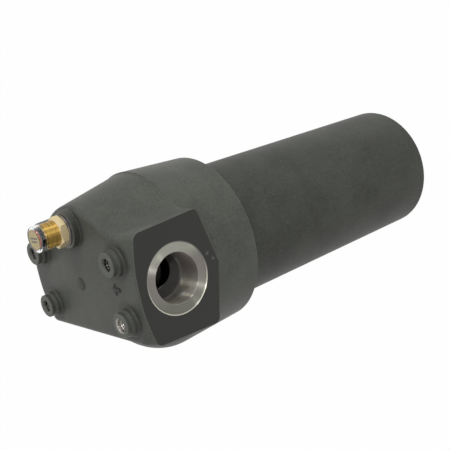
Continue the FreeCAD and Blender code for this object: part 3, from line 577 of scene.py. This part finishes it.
def raised(outline, foot, top, draft, edge):
    """Plate with a drafted side and a rounded edge, between two heights."""
    levels = [(outline, foot), (inset(outline, draft), top - edge),
              (inset(outline, draft + 0.3 * edge), top - 0.3 * edge), (inset(outline, draft + edge), top)]
    points = [Vector((p.x, p.y, z)) for ring, z in levels for p in ring]
    count = len(outline)
    faces = [tuple(reversed(range(count)))]
    for level in range(len(levels) - 1):
        for i in range(count):
            a, b = level * count + i, level * count + (i + 1) % count
            faces.append((a, b, b + count, a + count))
    faces.append(tuple(range((len(levels) - 1) * count, len(levels) * count)))
    return points, faces


def circle(centre, radius, steps):
    """Anticlockwise outline of a circle."""
    return [Vector(centre) + Vector((math.cos(a), math.sin(a))) * radius
            for a in (2 * math.pi * i / steps for i in range(steps))]


def bare_steel(finish, turning, spacing):
    """(colour, roughness, height) of turned steel whose marks repeat over a coordinate."""
    metal = settings("filter_metal")
    patches = finish.noise(14 * MM, 3, 0.6)
    stains = finish.rise(finish.noise(5 * MM, 4, 0.7), 0.56, 0.72)
    colour = finish.mix(patches, metal.steel_colour, metal.warm_steel_colour)
    colour = finish.tint(colour, stains, 0.35, steel_stain)
    marks = finish.rings(turning, spacing)
    roughness = finish.grade(patches, 0.26, 0.36)
    return colour, roughness, finish.scaled((marks, 0.012 * MM))


def coat_surface(finish, colour, grain, height):
    """(colour, roughness, height) of the satin coat over a grained skin."""
    coat = settings("filter_coat")
    cloud = finish.noise(45 * MM, 3, 0.55)
    mottle = finish.noise(5 * MM, 3, 0.6)
    skin = finish.noise(grain, 3, 0.65)
    fine = finish.noise(grain / 3, 2, 0.5)
    pores = finish.noise(2 * MM, 1, 0.5)
    dust = finish.specks(9 * MM, 0.45 * MM, 0.22)
    pits = finish.specks(12 * MM, 0.7 * MM, 0.25)
    darker, lighter = shaded(colour, 0.84), shaded(colour, 1.18)
    shade = finish.mix(finish.rise(cloud, 0.3, 0.7), darker, lighter)
    shade = finish.tint(shade, finish.rise(mottle, 0.42, 0.75), 0.35, shaded(colour, 1.35))
    shade = finish.tint(shade, finish.rise(fine, 0.5, 0.2), 0.45, darker)
    shade = finish.tint(shade, finish.rise(pores, 0.45, 0.25), 0.5, shaded(colour, 0.6))
    shade = finish.tint(shade, finish.rise(pores, 0.55, 0.75), 0.4, shaded(colour, 1.6))
    shade = finish.tint(shade, dust, 0.55, coat.dust_and_edge_light_colour)
    shade = finish.tint(shade, pits, 0.6, shaded(colour, 0.35))
    roughness = finish.grade(mottle, 0.42, 0.58)
    level = finish.scaled((skin, height), (fine, 0.35 * height), (pits, -0.25 * MM))
    return shade, roughness, level


def wall_colour(finish):
    """Colour of a port's turned wall: painted shade makes it darker brown above, painted light makes it pale
    below, and oil stains and rust lie below.
    """
    metal = settings("filter_metal")
    # Painted shade above and painted light below the port's axis
    low = finish.rise(finish.y, *lit_wall_band)
    colour = finish.mix(low, metal.warm_steel_colour, metal.lit_wall_colour)
    stain = finish.all_of(finish.rise(finish.noise(5 * MM, 3, 0.6), 0.5, 0.68),
                          finish.rise(finish.y, *stain_band), 0.6)
    colour = finish.mix(stain, colour, oil_stain)
    rust = finish.all_of(finish.specks(4 * MM, 0.6 * MM, 0.3), finish.under(finish.y, rust_top), 0.85)
    return finish.mix(rust, colour, metal.rust_colour)


def port_face_colour(finish):
    """Colour of the milled face round a port, with a few rubs and nicks."""
    coat = settings("filter_coat")
    rubs = finish.rise(finish.noise(7 * MM, 4, 0.7, (1, 1, 2.5)), 0.6, 0.8)
    colour = finish.tint(coat.pad_colour, rubs, 0.25, shaded(coat.pad_colour, 1.8))
    colour = finish.tint(colour, finish.specks(9 * MM, 0.5 * MM, 0.2), 0.3, coat.dust_and_edge_light_colour)
    for y, z in face_nicks:
        broken = finish.rise(finish.noise(1.6 * MM, 2, 0.6), 0.42, 0.62)
        nick = finish.all_of(finish.spot((pad_x, y, z), nick_radius, 0.8), broken, 0.4)
        colour = finish.mix(nick, colour, coat.dust_and_edge_light_colour)
    return colour


def spotface_colour(finish, from_port, plain_steel):
    """Colour of the turned spotface: steel at its sides, olive above and below with painted light above the
    axis and painted shade at and below it, and its step with a painted shadow above and painted light below.
    """
    olive = finish.mix(finish.rise(finish.y, *olive_light_band), olive_shaded, olive_lit)
    colour = finish.mix(finish.rise(finish.calc("ABSOLUTE", finish.y), *olive_band), plain_steel, olive)
    # Painted shadow on the step's upper part and painted light on its lower part
    step = finish.mix(finish.rise(finish.y, *step_band), step_shaded, step_lit)
    return finish.mix(finish.over(from_port, spotface_radius - step_width), colour, step)


def boss_colour(finish, colour, from_hole):
    """Colour with a painted highlight on the fixing bosses' machined tops, and painted shade round every boss
    and the indicator's seat.
    """
    head_colour = settings("filter_coat").head_colour
    # Painted highlight: the bosses' tops are painted paler, as if lit
    top = finish.all_of(finish.under(from_hole, boss_radius - 0.1 * MM),
                        finish.over(finish.z, boss_edge_z), 0.7)
    colour = finish.mix(top, colour, shaded(head_colour, 1.6))
    for apart, top_radius, foot_radius, depth in (
            (from_hole, boss_radius, boss_foot_radius, 2 * MM),
            (finish.from_indicator(), indicator_seat_radius + 0.3 * MM, indicator_foot_radius, 9 * MM)):
        # Painted shade: the coat is darkened round the foot of each boss and of the indicator's seat, where
        # shade falls
        boss_painted_shade = finish.all_of(finish.rise(apart, foot_radius + 6 * MM, foot_radius),
                              finish.over(finish.z, face_z - depth),
                              finish.rise(apart, top_radius - 0.2 * MM, top_radius + 0.1 * MM), 0.6)
        colour = finish.mix(boss_painted_shade, colour, shaded(head_colour, 0.35))
    return colour


def lit_worn_edges(finish, colour, side, from_port):
    """(colour with pale edges, painted as wear and as a painted highlight, normal rounded over them). The
    ports' mouths stay sharp.
    """
    coat = settings("filter_coat")
    at_mouth = finish.under(from_port, spotface_radius + coat.edge_width)
    rounded, edge = finish.edges(finish.grade(at_mouth, coat.edge_width, 0.0))
    # Edges are painted pale as wear and as a painted highlight, most of all along the port face's rim
    rim = finish.over(side, pad_x - 1.0 * MM)
    rubbed_and_lit = finish.grade(rim, finish.noise(6 * MM, 3, 0.6), 1.3)
    wear_and_highlight = finish.all_of(edge, finish.grade(rubbed_and_lit, *edge_wear_and_highlight))
    return finish.mix(wear_and_highlight, colour, coat.dust_and_edge_light_colour), rounded


def chamber_masks(finish):
    """(1 in the chamber round the element, 1 on the turned seal land, thread and spigot in it)."""
    from_axis = finish.distance(finish.x, finish.y)
    wide = finish.under(finish.z, chamber_wide_z)
    radius = finish.grade(wide, chamber_neck_radius, seal_land_radius)
    chamber = finish.all_of(finish.under(from_axis, radius), finish.under(finish.z, chamber_top_z))
    land = finish.all_of(chamber, wide, finish.over(from_axis, seal_land_inner_radius))
    spigot = finish.all_of(chamber, finish.under(from_axis, spigot_root_radius),
                           finish.under(finish.z, spigot_stop_z))
    return chamber, finish.any_of(land, spigot)


def bare_places(finish, from_hole):
    """Share of bare steel in the fixing holes, highest in one of them, and on the indicator's seat."""
    hole = finish.all_of(finish.under(from_hole, hole_radius + 0.05 * MM),
                         finish.under(finish.z, -0.8 * hole_wall_top))
    bright = finish.all_of(finish.under(from_hole, countersink_radius + 0.02 * MM),
                           finish.over(finish.x, 0.0), finish.under(finish.y, 0.0))
    seat = finish.all_of(finish.under(finish.from_indicator(), indicator_seat_radius),
                         finish.over(finish.z, washer_back_z - 0.3 * MM),
                         finish.over(finish.y, indicator_y - indicator_seat_radius))
    return finish.any_of(finish.all_of(finish.any_of(hole, seat), 0.3), bright)


def head_finish():
    """Coat on the cast head, with bare metal where it was machined after coating."""
    coat = settings("filter_coat")
    finish = Finish("cast_head")
    y, z = finish.y, finish.z
    side = finish.calc("ABSOLUTE", finish.x)
    from_port = finish.distance(y, finish.calc("SUBTRACT", z, port_z))
    from_hole = finish.distance(finish.calc("SUBTRACT", side, hole_x),
                                finish.calc("SUBTRACT", finish.calc("ABSOLUTE", y), hole_y))

    # Coat, smoother and darker on the milled port faces, with its marks of wear, painted highlights on edges
    # and the bosses' tops, and painted shade round the bosses
    colour, roughness, level = coat_surface(finish, coat.head_colour, coat.grain_size, coat.grain_height)
    pad = finish.over(side, pad_x - 0.1 * MM)
    milling = finish.scaled((finish.noise(1.2 * MM, 2, 0.5), 0.008 * MM))
    colour = finish.mix(pad, colour, port_face_colour(finish))
    roughness = finish.grade(pad, roughness, 0.44)
    level = finish.grade(pad, level, milling)
    colour = boss_colour(finish, colour, from_hole)
    for place in cast_pits:
        colour = finish.tint(colour, finish.spot((*place, face_z), pit_radius), 0.75, black)
    colour, rounded = lit_worn_edges(finish, colour, side, from_port)

    # Inside: oily dark iron in the passages and the chamber, and turned steel
    step_x = pad_x - port_inner_end + 0.05 * MM
    passage = finish.all_of(finish.under(side, step_x), finish.under(from_port, port_radius + 0.1 * MM))
    chamber, turned = chamber_masks(finish)
    inside = finish.any_of(passage, chamber)
    oily = finish.mix(finish.noise(8 * MM, 3, 0.6), *oily_iron)
    colour = finish.mix(inside, colour, finish.mix(chamber, oily, chamber_iron))
    roughness = finish.grade(inside, roughness, 0.38)
    steel, shine, marks = bare_steel(finish, z, bore_marks_spacing)
    colour = finish.mix(turned, colour, steel)
    roughness = finish.grade(turned, roughness, shine)

    # Spotface and mouth of each port, turned about the port's axis
    face = finish.all_of(finish.under(from_port, spotface_radius), finish.over(side, step_x))
    wall = finish.under(from_port, port_radius + 0.2 * MM)
    plain_steel, _, face_marks = bare_steel(finish, from_port, face_marks_spacing)
    face_steel = finish.mix(wall, spotface_colour(finish, from_port, plain_steel), wall_colour(finish))
    colour = finish.mix(face, colour, face_steel)
    roughness = finish.grade(face, roughness, finish.grade(wall, 0.5, 0.38))

    # Fixing holes and the indicator's seat
    bare = bare_places(finish, from_hole)
    colour = finish.mix(bare, colour, plain_steel)
    roughness = finish.grade(bare, roughness, 0.3)

    # Marks and highlights of all bare metal
    metallic = finish.all_of(finish.any_of(face, turned, bare), finish.grade(wall, 1.0, 0.9))
    level = finish.grade(metallic, level, finish.grade(face, marks, finish.calc("MULTIPLY", face_marks, 0.1)))
    tangent = finish.add("ShaderNodeCombineXYZ", {
        "X": from_port, "Y": y, "Z": finish.calc("SUBTRACT", z, port_z)}).outputs[0]
    return finish.done(colour, roughness, metallic, finish.bump(level, rounded),
                       Specular_IOR_Level=finish.grade(pad, coat.gloss, 0.8 * coat.gloss),
                       Anisotropic=face, Tangent=tangent)


def bowl_finish():
    """Coat on the bowl's outside, and turned steel on its neck and inside."""
    coat = settings("filter_coat")
    finish = Finish("bowl_steel")
    from_axis = finish.distance(finish.x, finish.y)
    colour, roughness, level = coat_surface(finish, coat.bowl_colour, 0.8 * coat.grain_size,
                                            0.5 * coat.grain_height)
    # Edges painted pale, as wear and as a painted highlight
    rounded, edge = finish.edges(coat.edge_width)
    wear_and_highlight = finish.all_of(edge, finish.grade(finish.noise(6 * MM, 3, 0.6), *edge_wear_and_highlight))
    colour = finish.mix(wear_and_highlight, colour, coat.dust_and_edge_light_colour)
    neck = finish.all_of(finish.under(from_axis, seal_land_radius),
                         finish.over(finish.z, bowl_end_z + bowl_floor_depth))
    steel, shine, marks = bare_steel(finish, finish.z, bore_marks_spacing)
    colour = finish.mix(neck, colour, steel)
    roughness = finish.grade(neck, roughness, shine)
    level = finish.grade(neck, level, marks)
    return finish.done(colour, roughness, neck, finish.bump(level, rounded),
                       Specular_IOR_Level=0.5 * coat.gloss)


def cast_mark_finish():
    """Coat on the raised marks, painted dark as shade and a little paler towards the top as painted light."""
    coat = settings("filter_coat")
    finish = Finish("cast_mark")
    colour, roughness, level = coat_surface(finish, coat.head_colour, coat.grain_size, coat.grain_height)
    # Painted shade over the whole mark, with painted light growing towards its top
    top = finish.rise(finish.z, face_z, face_z + 0.6 * MM)
    colour = finish.tint(shaded(coat.head_colour, 0.45), top, 0.15, colour)
    return finish.done(colour, roughness, 0.0, finish.bump(level), Specular_IOR_Level=coat.gloss)


def thread_finish(name, axis, tints=None):
    """Cut thread about X or Z. Without tints of its own it has the colours of the port's wall."""
    finish = Finish(name)
    patches = finish.noise(9 * MM, 3, 0.6)
    if tints:
        colour, shine, metallic = finish.mix(patches, *tints), (0.28, 0.38), 1.0
    else:
        colour, shine, metallic = wall_colour(finish), (0.36, 0.42), 0.9
    return finish.done(colour, finish.grade(patches, *shine), metallic,
                       finish.bump(finish.scaled((patches, 0.004 * MM))),
                       Anisotropic=0.95, Anisotropic_Rotation=0.25, Tangent=finish.around(axis))


def brass_finish():
    """Turned brass: warm and bright on the barrel, paler on the milled hexagon."""
    metal = settings("filter_metal")
    finish = Finish("indicator_brass")
    barrel = finish.over(finish.z, hex_front_z + 0.05 * MM)
    tarnish = finish.noise(5 * MM, 3, 0.6, (1, 1, 0.4))
    # Painted shade: the brass is painted darker towards -Y, and lighter on its upper side as painted light
    painted_light_side = finish.rise(finish.calc("SUBTRACT", finish.y, indicator_y), -9 * MM, 7 * MM)
    turned = finish.mix(painted_light_side, shaded(metal.brass_colour, 0.75), metal.brass_colour)
    colour = finish.mix(barrel, metal.pale_brass_colour, turned)
    colour = finish.tint(colour, finish.rise(tarnish, 0.5, 0.8), 0.3, brass_tarnish)
    rounded, edge = finish.edges(0.25 * MM)
    # Painted highlight and wear: sharp edges are painted pale, most of all on the hexagon
    colour = finish.tint(colour, edge, finish.grade(barrel, 0.7, 0.25), brass_edge_highlight_and_wear)
    marks = finish.grade(barrel, finish.rings(finish.from_indicator(), hex_marks_spacing),
                         finish.rings(finish.z, barrel_marks_spacing))
    return finish.done(colour, finish.grade(barrel, 0.42, 0.38), finish.grade(barrel, 0.6, 1.0),
                       finish.bump(finish.scaled((marks, 0.004 * MM)), rounded),
                       Anisotropic=finish.all_of(barrel, 0.9), Anisotropic_Rotation=0.25,
                       Tangent=finish.around("Z"))


def clear_finish():
    """Clear moulded cap, with faint flow lines."""
    finish = Finish("clear_cap")
    waves = finish.noise(3 * MM, 2, 0.5)
    colour = finish.mix(waves, *clear_plastic)
    return finish.done(colour, 0.03, 0.0, finish.bump(finish.scaled((waves, 0.005 * MM))),
                       lamps_pass=True, IOR=1.49, Transmission_Weight=1.0)


def label_finish():
    """Champagne foil of the label, with a printed rim, and on its side a painted red glint over painted black
    shade.
    """
    finish = Finish("label_plate")
    radius = (label_high.x - label_low.x) / 2
    rim = finish.over(finish.from_indicator(), radius - label_rim_width)
    grain = finish.noise(0.8 * MM, 2, 0.6, (6, 1, 1))
    colour = finish.mix(rim, finish.mix(grain, *label_foil), label_rim)
    # Painted red glint at the top of the side, and painted black shade below it and on the back
    colour = finish.mix(finish.under(finish.z, label_high.z - label_glint_depth), colour, label_red_glint)
    colour = finish.mix(finish.under(finish.z, label_high.z - label_shade_depth), colour, black)
    return finish.done(colour, 0.42, 0.35, finish.bump(finish.scaled((grain, 0.01 * MM))))


def plain_metal(name, colour, second, roughness, spacing):
    """Small metal part with drawn or turned marks along Z and cloudy plating."""
    finish = Finish(name)
    cloud = finish.noise(6 * MM, 3, 0.6)
    plating = finish.mix(finish.rise(cloud, 0.3, 0.7), colour, second)
    marks = finish.rings(finish.z, spacing)
    return finish.done(plating, finish.grade(cloud, roughness * 0.8, roughness * 1.25), 1.0,
                       finish.bump(finish.scaled((marks, 0.008 * MM))))


def plain_soft(name, colour, second, roughness, grain, height):
    """Rubber, plastic or paper with a fine grain."""
    finish = Finish(name)
    cloud = finish.noise(8 * MM, 3, 0.6)
    skin = finish.noise(grain, 2, 0.6)
    share = finish.calc("MULTIPLY_ADD", cloud, 0.6, finish.calc("MULTIPLY", skin, 0.4))
    return finish.done(finish.mix(share, colour, second),
                       finish.grade(skin, roughness * 0.9, min(1.0, roughness * 1.1)), 0.0,
                       finish.bump(finish.scaled((skin, height))))


def signal_finish():
    """Signal sleeve: red outside, with black painted inside and at its front rim as painted shade."""
    finish = Finish("signal_red")
    outside = finish.all_of(finish.over(finish.from_indicator(), signal_high.x - signal_wall),
                            finish.under(finish.z, signal_high.z - signal_rim))
    skin = finish.noise(2 * MM, 2, 0.6)
    colour = finish.mix(outside, signal_painted_shade, finish.mix(skin, *signal_red))
    return finish.done(colour, 0.3, 0.0, finish.bump(finish.scaled((skin, 0.003 * MM))))


class FILTER_OT_head_coat(bpy.types.Operator):
    """Coat the cast head and bare its machined faces"""
    bl_idname = "hp_filter.head_coat"
    bl_label = "Head coat"

    def execute(self, context):
        paint_slot("cast_head", head_finish())
        return {"FINISHED"}


class FILTER_OT_bowl_coat(bpy.types.Operator):
    """Coat the bowl"""
    bl_idname = "hp_filter.bowl_coat"
    bl_label = "Bowl coat"

    def execute(self, context):
        paint_slot("bowl_steel", bowl_finish())
        return {"FINISHED"}


class FILTER_OT_port_threads(bpy.types.Operator):
    """Cut the pipe threads of both ports"""
    bl_idname = "hp_filter.port_threads"
    bl_label = "Port threads"

    def execute(self, context):
        thread = settings("filter_thread")
        steel = thread_finish("port_thread", "X")
        points, faces = thread_ridge(port_radius, thread.port_depth, thread.port_pitch, port_wall_length,
                                     thread.port_steps)
        for name, side in (("inlet_port_thread", 1), ("outlet_port_thread", -1)):
            place = Matrix.Translation((side * (pad_x - port_inner_end), 0, port_z))
            turn = Matrix.Rotation(math.radians(90 * side), 4, "Y")
            new_piece(name, [place @ turn @ point for point in points], faces, steel)
        return {"FINISHED"}


class FILTER_OT_fixing_threads(bpy.types.Operator):
    """Cut the threads of the four fixing holes"""
    bl_idname = "hp_filter.fixing_threads"
    bl_label = "Fixing threads"

    def execute(self, context):
        thread = settings("filter_thread")
        dull = thread_finish("fixing_thread", "Z", dull_thread)
        clean = thread_finish("bright_fixing_thread", "Z", clean_thread)
        points, faces = thread_ridge(hole_radius, thread.hole_depth, thread.hole_pitch, hole_wall_length,
                                     thread.hole_steps)
        corners = [(-hole_x, -hole_y, dull), (-hole_x, hole_y, dull), (hole_x, hole_y, dull),
                   (hole_x, -hole_y, clean)]
        for i, (x, y, steel) in enumerate(corners, 1):
            place = Matrix.Translation((x, y, -hole_wall_top - hole_wall_length))
            new_piece(f"fixing_thread_{i}", [place @ point for point in points], faces, steel)
        return {"FINISHED"}


class FILTER_OT_cast_marks(bpy.types.Operator):
    """Raise the flow arrow and the round casting mark on the head's face"""
    bl_idname = "hp_filter.cast_marks"
    bl_label = "Cast marks"

    def execute(self, context):
        mark = settings("filter_mark")
        skin = cast_mark_finish()
        half, wing = mark.arrow_length / 2, mark.arrow_width / 2
        shaft = arrow_shaft_share * wing
        centre = Vector(mark.arrow_centre)
        outline = [centre + Vector(corner) for corner in (
            (-half, 0), (0, -wing), (0, -shaft), (half, -shaft), (half, shaft), (0, shaft), (0, wing))]
        points, faces = raised(outline, face_z - 0.3 * MM, face_z + mark.arrow_height, 0.35 * MM, 0.25 * MM)
        new_piece("flow_arrow", points, faces, skin)
        ring = circle(mark.disc_centre, mark.disc_radius, 72)
        points, faces = raised(ring, face_z - 0.3 * MM, face_z + mark.disc_height, 0.5 * MM, 0.3 * MM)
        new_piece("casting_mark", points, faces, skin)
        return {"FINISHED"}


class FILTER_OT_indicator(bpy.types.Operator):
    """Finish the brass, the clear cap and the label, and print the label's bars"""
    bl_idname = "hp_filter.indicator"
    bl_label = "Indicator"

    def execute(self, context):
        mark = settings("filter_mark")
        paint_slot("indicator_brass", brass_finish())
        paint_slot("clear_cap", clear_finish())
        paint_slot("label_plate", label_finish())
        ink = plain_soft("label_ink", *label_ink, 0.5, 0.5 * MM, 0.002 * MM)
        for i, (start, end, above) in enumerate(print_bars, 1):
            low, high = indicator_y + above - print_half_width, indicator_y + above + print_half_width
            outline = [Vector(corner) for corner in ((start, low), (end, low), (end, high), (start, high))]
            points, faces = raised(outline, label_high.z - 0.02 * MM, label_high.z + mark.print_height,
                                   0.01 * MM, 0.02 * MM)
            new_piece(f"label_print_{i}", points, faces, ink)
        return {"FINISHED"}


class FILTER_OT_inner_pieces(bpy.types.Operator):
    """Finish the seals, the element, the bypass valve and the indicator's working parts"""
    bl_idname = "hp_filter.inner_pieces"
    bl_label = "Inner pieces"

    def execute(self, context):
        for slot, values in soft_slots.items():
            paint_slot(slot, plain_soft(slot, *values))
        for slot, values in metal_slots.items():
            paint_slot(slot, plain_metal(slot, *values))
        paint_slot("signal_red", signal_finish())
        return {"FINISHED"}


def add_lamp(name, towards, strength, angle):
    """Soft distant lamp that shines from a direction."""
    data = bpy.data.lights.new(name, "SUN")
    data.energy = strength
    data.angle = math.radians(angle)
    lamp = bpy.data.objects.new(name, data)
    lamp.rotation_euler = Vector(towards).to_track_quat("Z", "Y").to_euler()
    bpy.context.scene.collection.objects.link(lamp)


def seen_directly(tree):
    """1 for what the camera sees straight, by reflection or through glass."""
    rays = tree.nodes.new("ShaderNodeLightPath")
    total = rays.outputs["Is Camera Ray"]
    for name in ("Is Glossy Ray", "Is Transmission Ray"):
        either = tree.nodes.new("ShaderNodeMath")
        either.operation = "MAXIMUM"
        tree.links.new(total, either.inputs[0])
        tree.links.new(rays.outputs[name], either.inputs[1])
        total = either.outputs[0]
    return total


def set_background(scene, room_light):
    """World that is white where it is seen, and plain room light elsewhere."""
    world = bpy.data.worlds.new("studio")
    world.use_nodes = True
    scene.world = world
    tree = world.node_tree
    tree.nodes.clear()
    strength = tree.nodes.new("ShaderNodeMix")
    strength.data_type = "FLOAT"
    strength.inputs[2].default_value = room_light
    strength.inputs[3].default_value = 1.0
    background = tree.nodes.new("ShaderNodeBackground")
    background.inputs["Color"].default_value = (1, 1, 1, 1)
    output = tree.nodes.new("ShaderNodeOutputWorld")
    tree.links.new(seen_directly(tree), strength.inputs[0])
    tree.links.new(strength.outputs[0], background.inputs["Strength"])
    tree.links.new(background.outputs[0], output.inputs["Surface"])


def lay_floor(scene, level, radius, glow_share):
    """Round pale floor that keeps the filter's shadow."""
    rim = circle((0, 0), radius, 96)
    mesh = bpy.data.meshes.new("floor")
    mesh.from_pydata([(p.x, p.y, level) for p in rim], [], [tuple(range(len(rim)))])
    floor = bpy.data.objects.new("floor", mesh)
    scene.collection.objects.link(floor)
    finish = Finish("floor")
    cloth = finish.add("ShaderNodeBsdfDiffuse", {
        "Color": finish.mix(finish.noise(0.4, 2, 0.5), *floor_cloth)})
    glow = finish.add("ShaderNodeEmission", {"Color": (1, 1, 1), "Strength": 1.0})
    share = finish.all_of(seen_directly(finish.tree), glow_share)
    surface = finish.add("ShaderNodeMixShader", {0: share, 1: cloth.outputs[0], 2: glow.outputs[0]})
    finish.add("ShaderNodeOutputMaterial", {"Surface": surface.outputs[0]})
    paint(floor, finish.material)


def place_camera(scene, lens):
    """Camera at the photograph's place and angle."""
    camera = bpy.data.objects.new("camera", bpy.data.cameras.new("camera"))
    camera.matrix_world = Matrix.Translation(camera_place) @ Matrix(camera_axes).transposed().to_4x4()
    camera.data.lens = lens
    camera.data.sensor_width = 36.0
    scene.collection.objects.link(camera)
    scene.camera = camera


class FILTER_OT_studio(bpy.types.Operator):
    """Lay the pale floor and set the white background, the lamps and the camera"""
    bl_idname = "hp_filter.studio"
    bl_label = "Studio"

    def execute(self, context):
        studio = settings("filter_studio")
        scene = context.scene
        scene.view_settings.view_transform = "Standard"
        set_background(scene, studio.room_light)
        lay_floor(scene, bare_box[0].z - studio.floor_gap, studio.floor_radius, studio.floor_glow)
        place_camera(scene, studio.lens)
        for name, (shares, width) in lamp_aims.items():
            towards = sum((axis * share for axis, share in zip(camera_axes, shares)), Vector())
            add_lamp(name, towards, getattr(studio, f"{name}_light"), width)
        return {"FINISHED"}


class FILTER_PT_dressing(bpy.types.Panel):
    """Lists the steps that dress the filter"""
    bl_label = "High pressure filter"
    bl_idname = "FILTER_PT_dressing"
    bl_space_type = "VIEW_3D"
    bl_region_type = "UI"
    bl_category = "Filter"

    def draw(self, context):
        for group, cls in GROUPS.items():
            box = self.layout.box()
            for name in cls.__annotations__:
                box.prop(getattr(context.scene, group), name)
        for step in STEPS:
            self.layout.operator(step.bl_idname)


GROUPS = {
    "filter_coat": CoatSettings,
    "filter_metal": MetalSettings,
    "filter_thread": ThreadSettings,
    "filter_mark": MarkSettings,
    "filter_studio": StudioSettings,
}
STEPS = [
    FILTER_OT_head_coat,
    FILTER_OT_bowl_coat,
    FILTER_OT_port_threads,
    FILTER_OT_fixing_threads,
    FILTER_OT_cast_marks,
    FILTER_OT_indicator,
    FILTER_OT_inner_pieces,
    FILTER_OT_studio,
]


def register():
    """Registers the settings, the steps and the panel."""
    for cls in (*GROUPS.values(), *STEPS, FILTER_PT_dressing):
        bpy.utils.register_class(cls)
    for name, cls in GROUPS.items():
        setattr(bpy.types.Scene, name, PointerProperty(type=cls))


def unregister():
    """Takes the settings, the steps and the panel away again."""
    for name in GROUPS:
        delattr(bpy.types.Scene, name)
    for cls in reversed((*GROUPS.values(), *STEPS, FILTER_PT_dressing)):
        bpy.utils.unregister_class(cls)


def main():
    """Runs every step in order."""
    register()
    for step in STEPS:
        section, name = step.bl_idname.split(".")
        getattr(getattr(bpy.ops, section), name)()


if __name__ == "__main__":
    main()
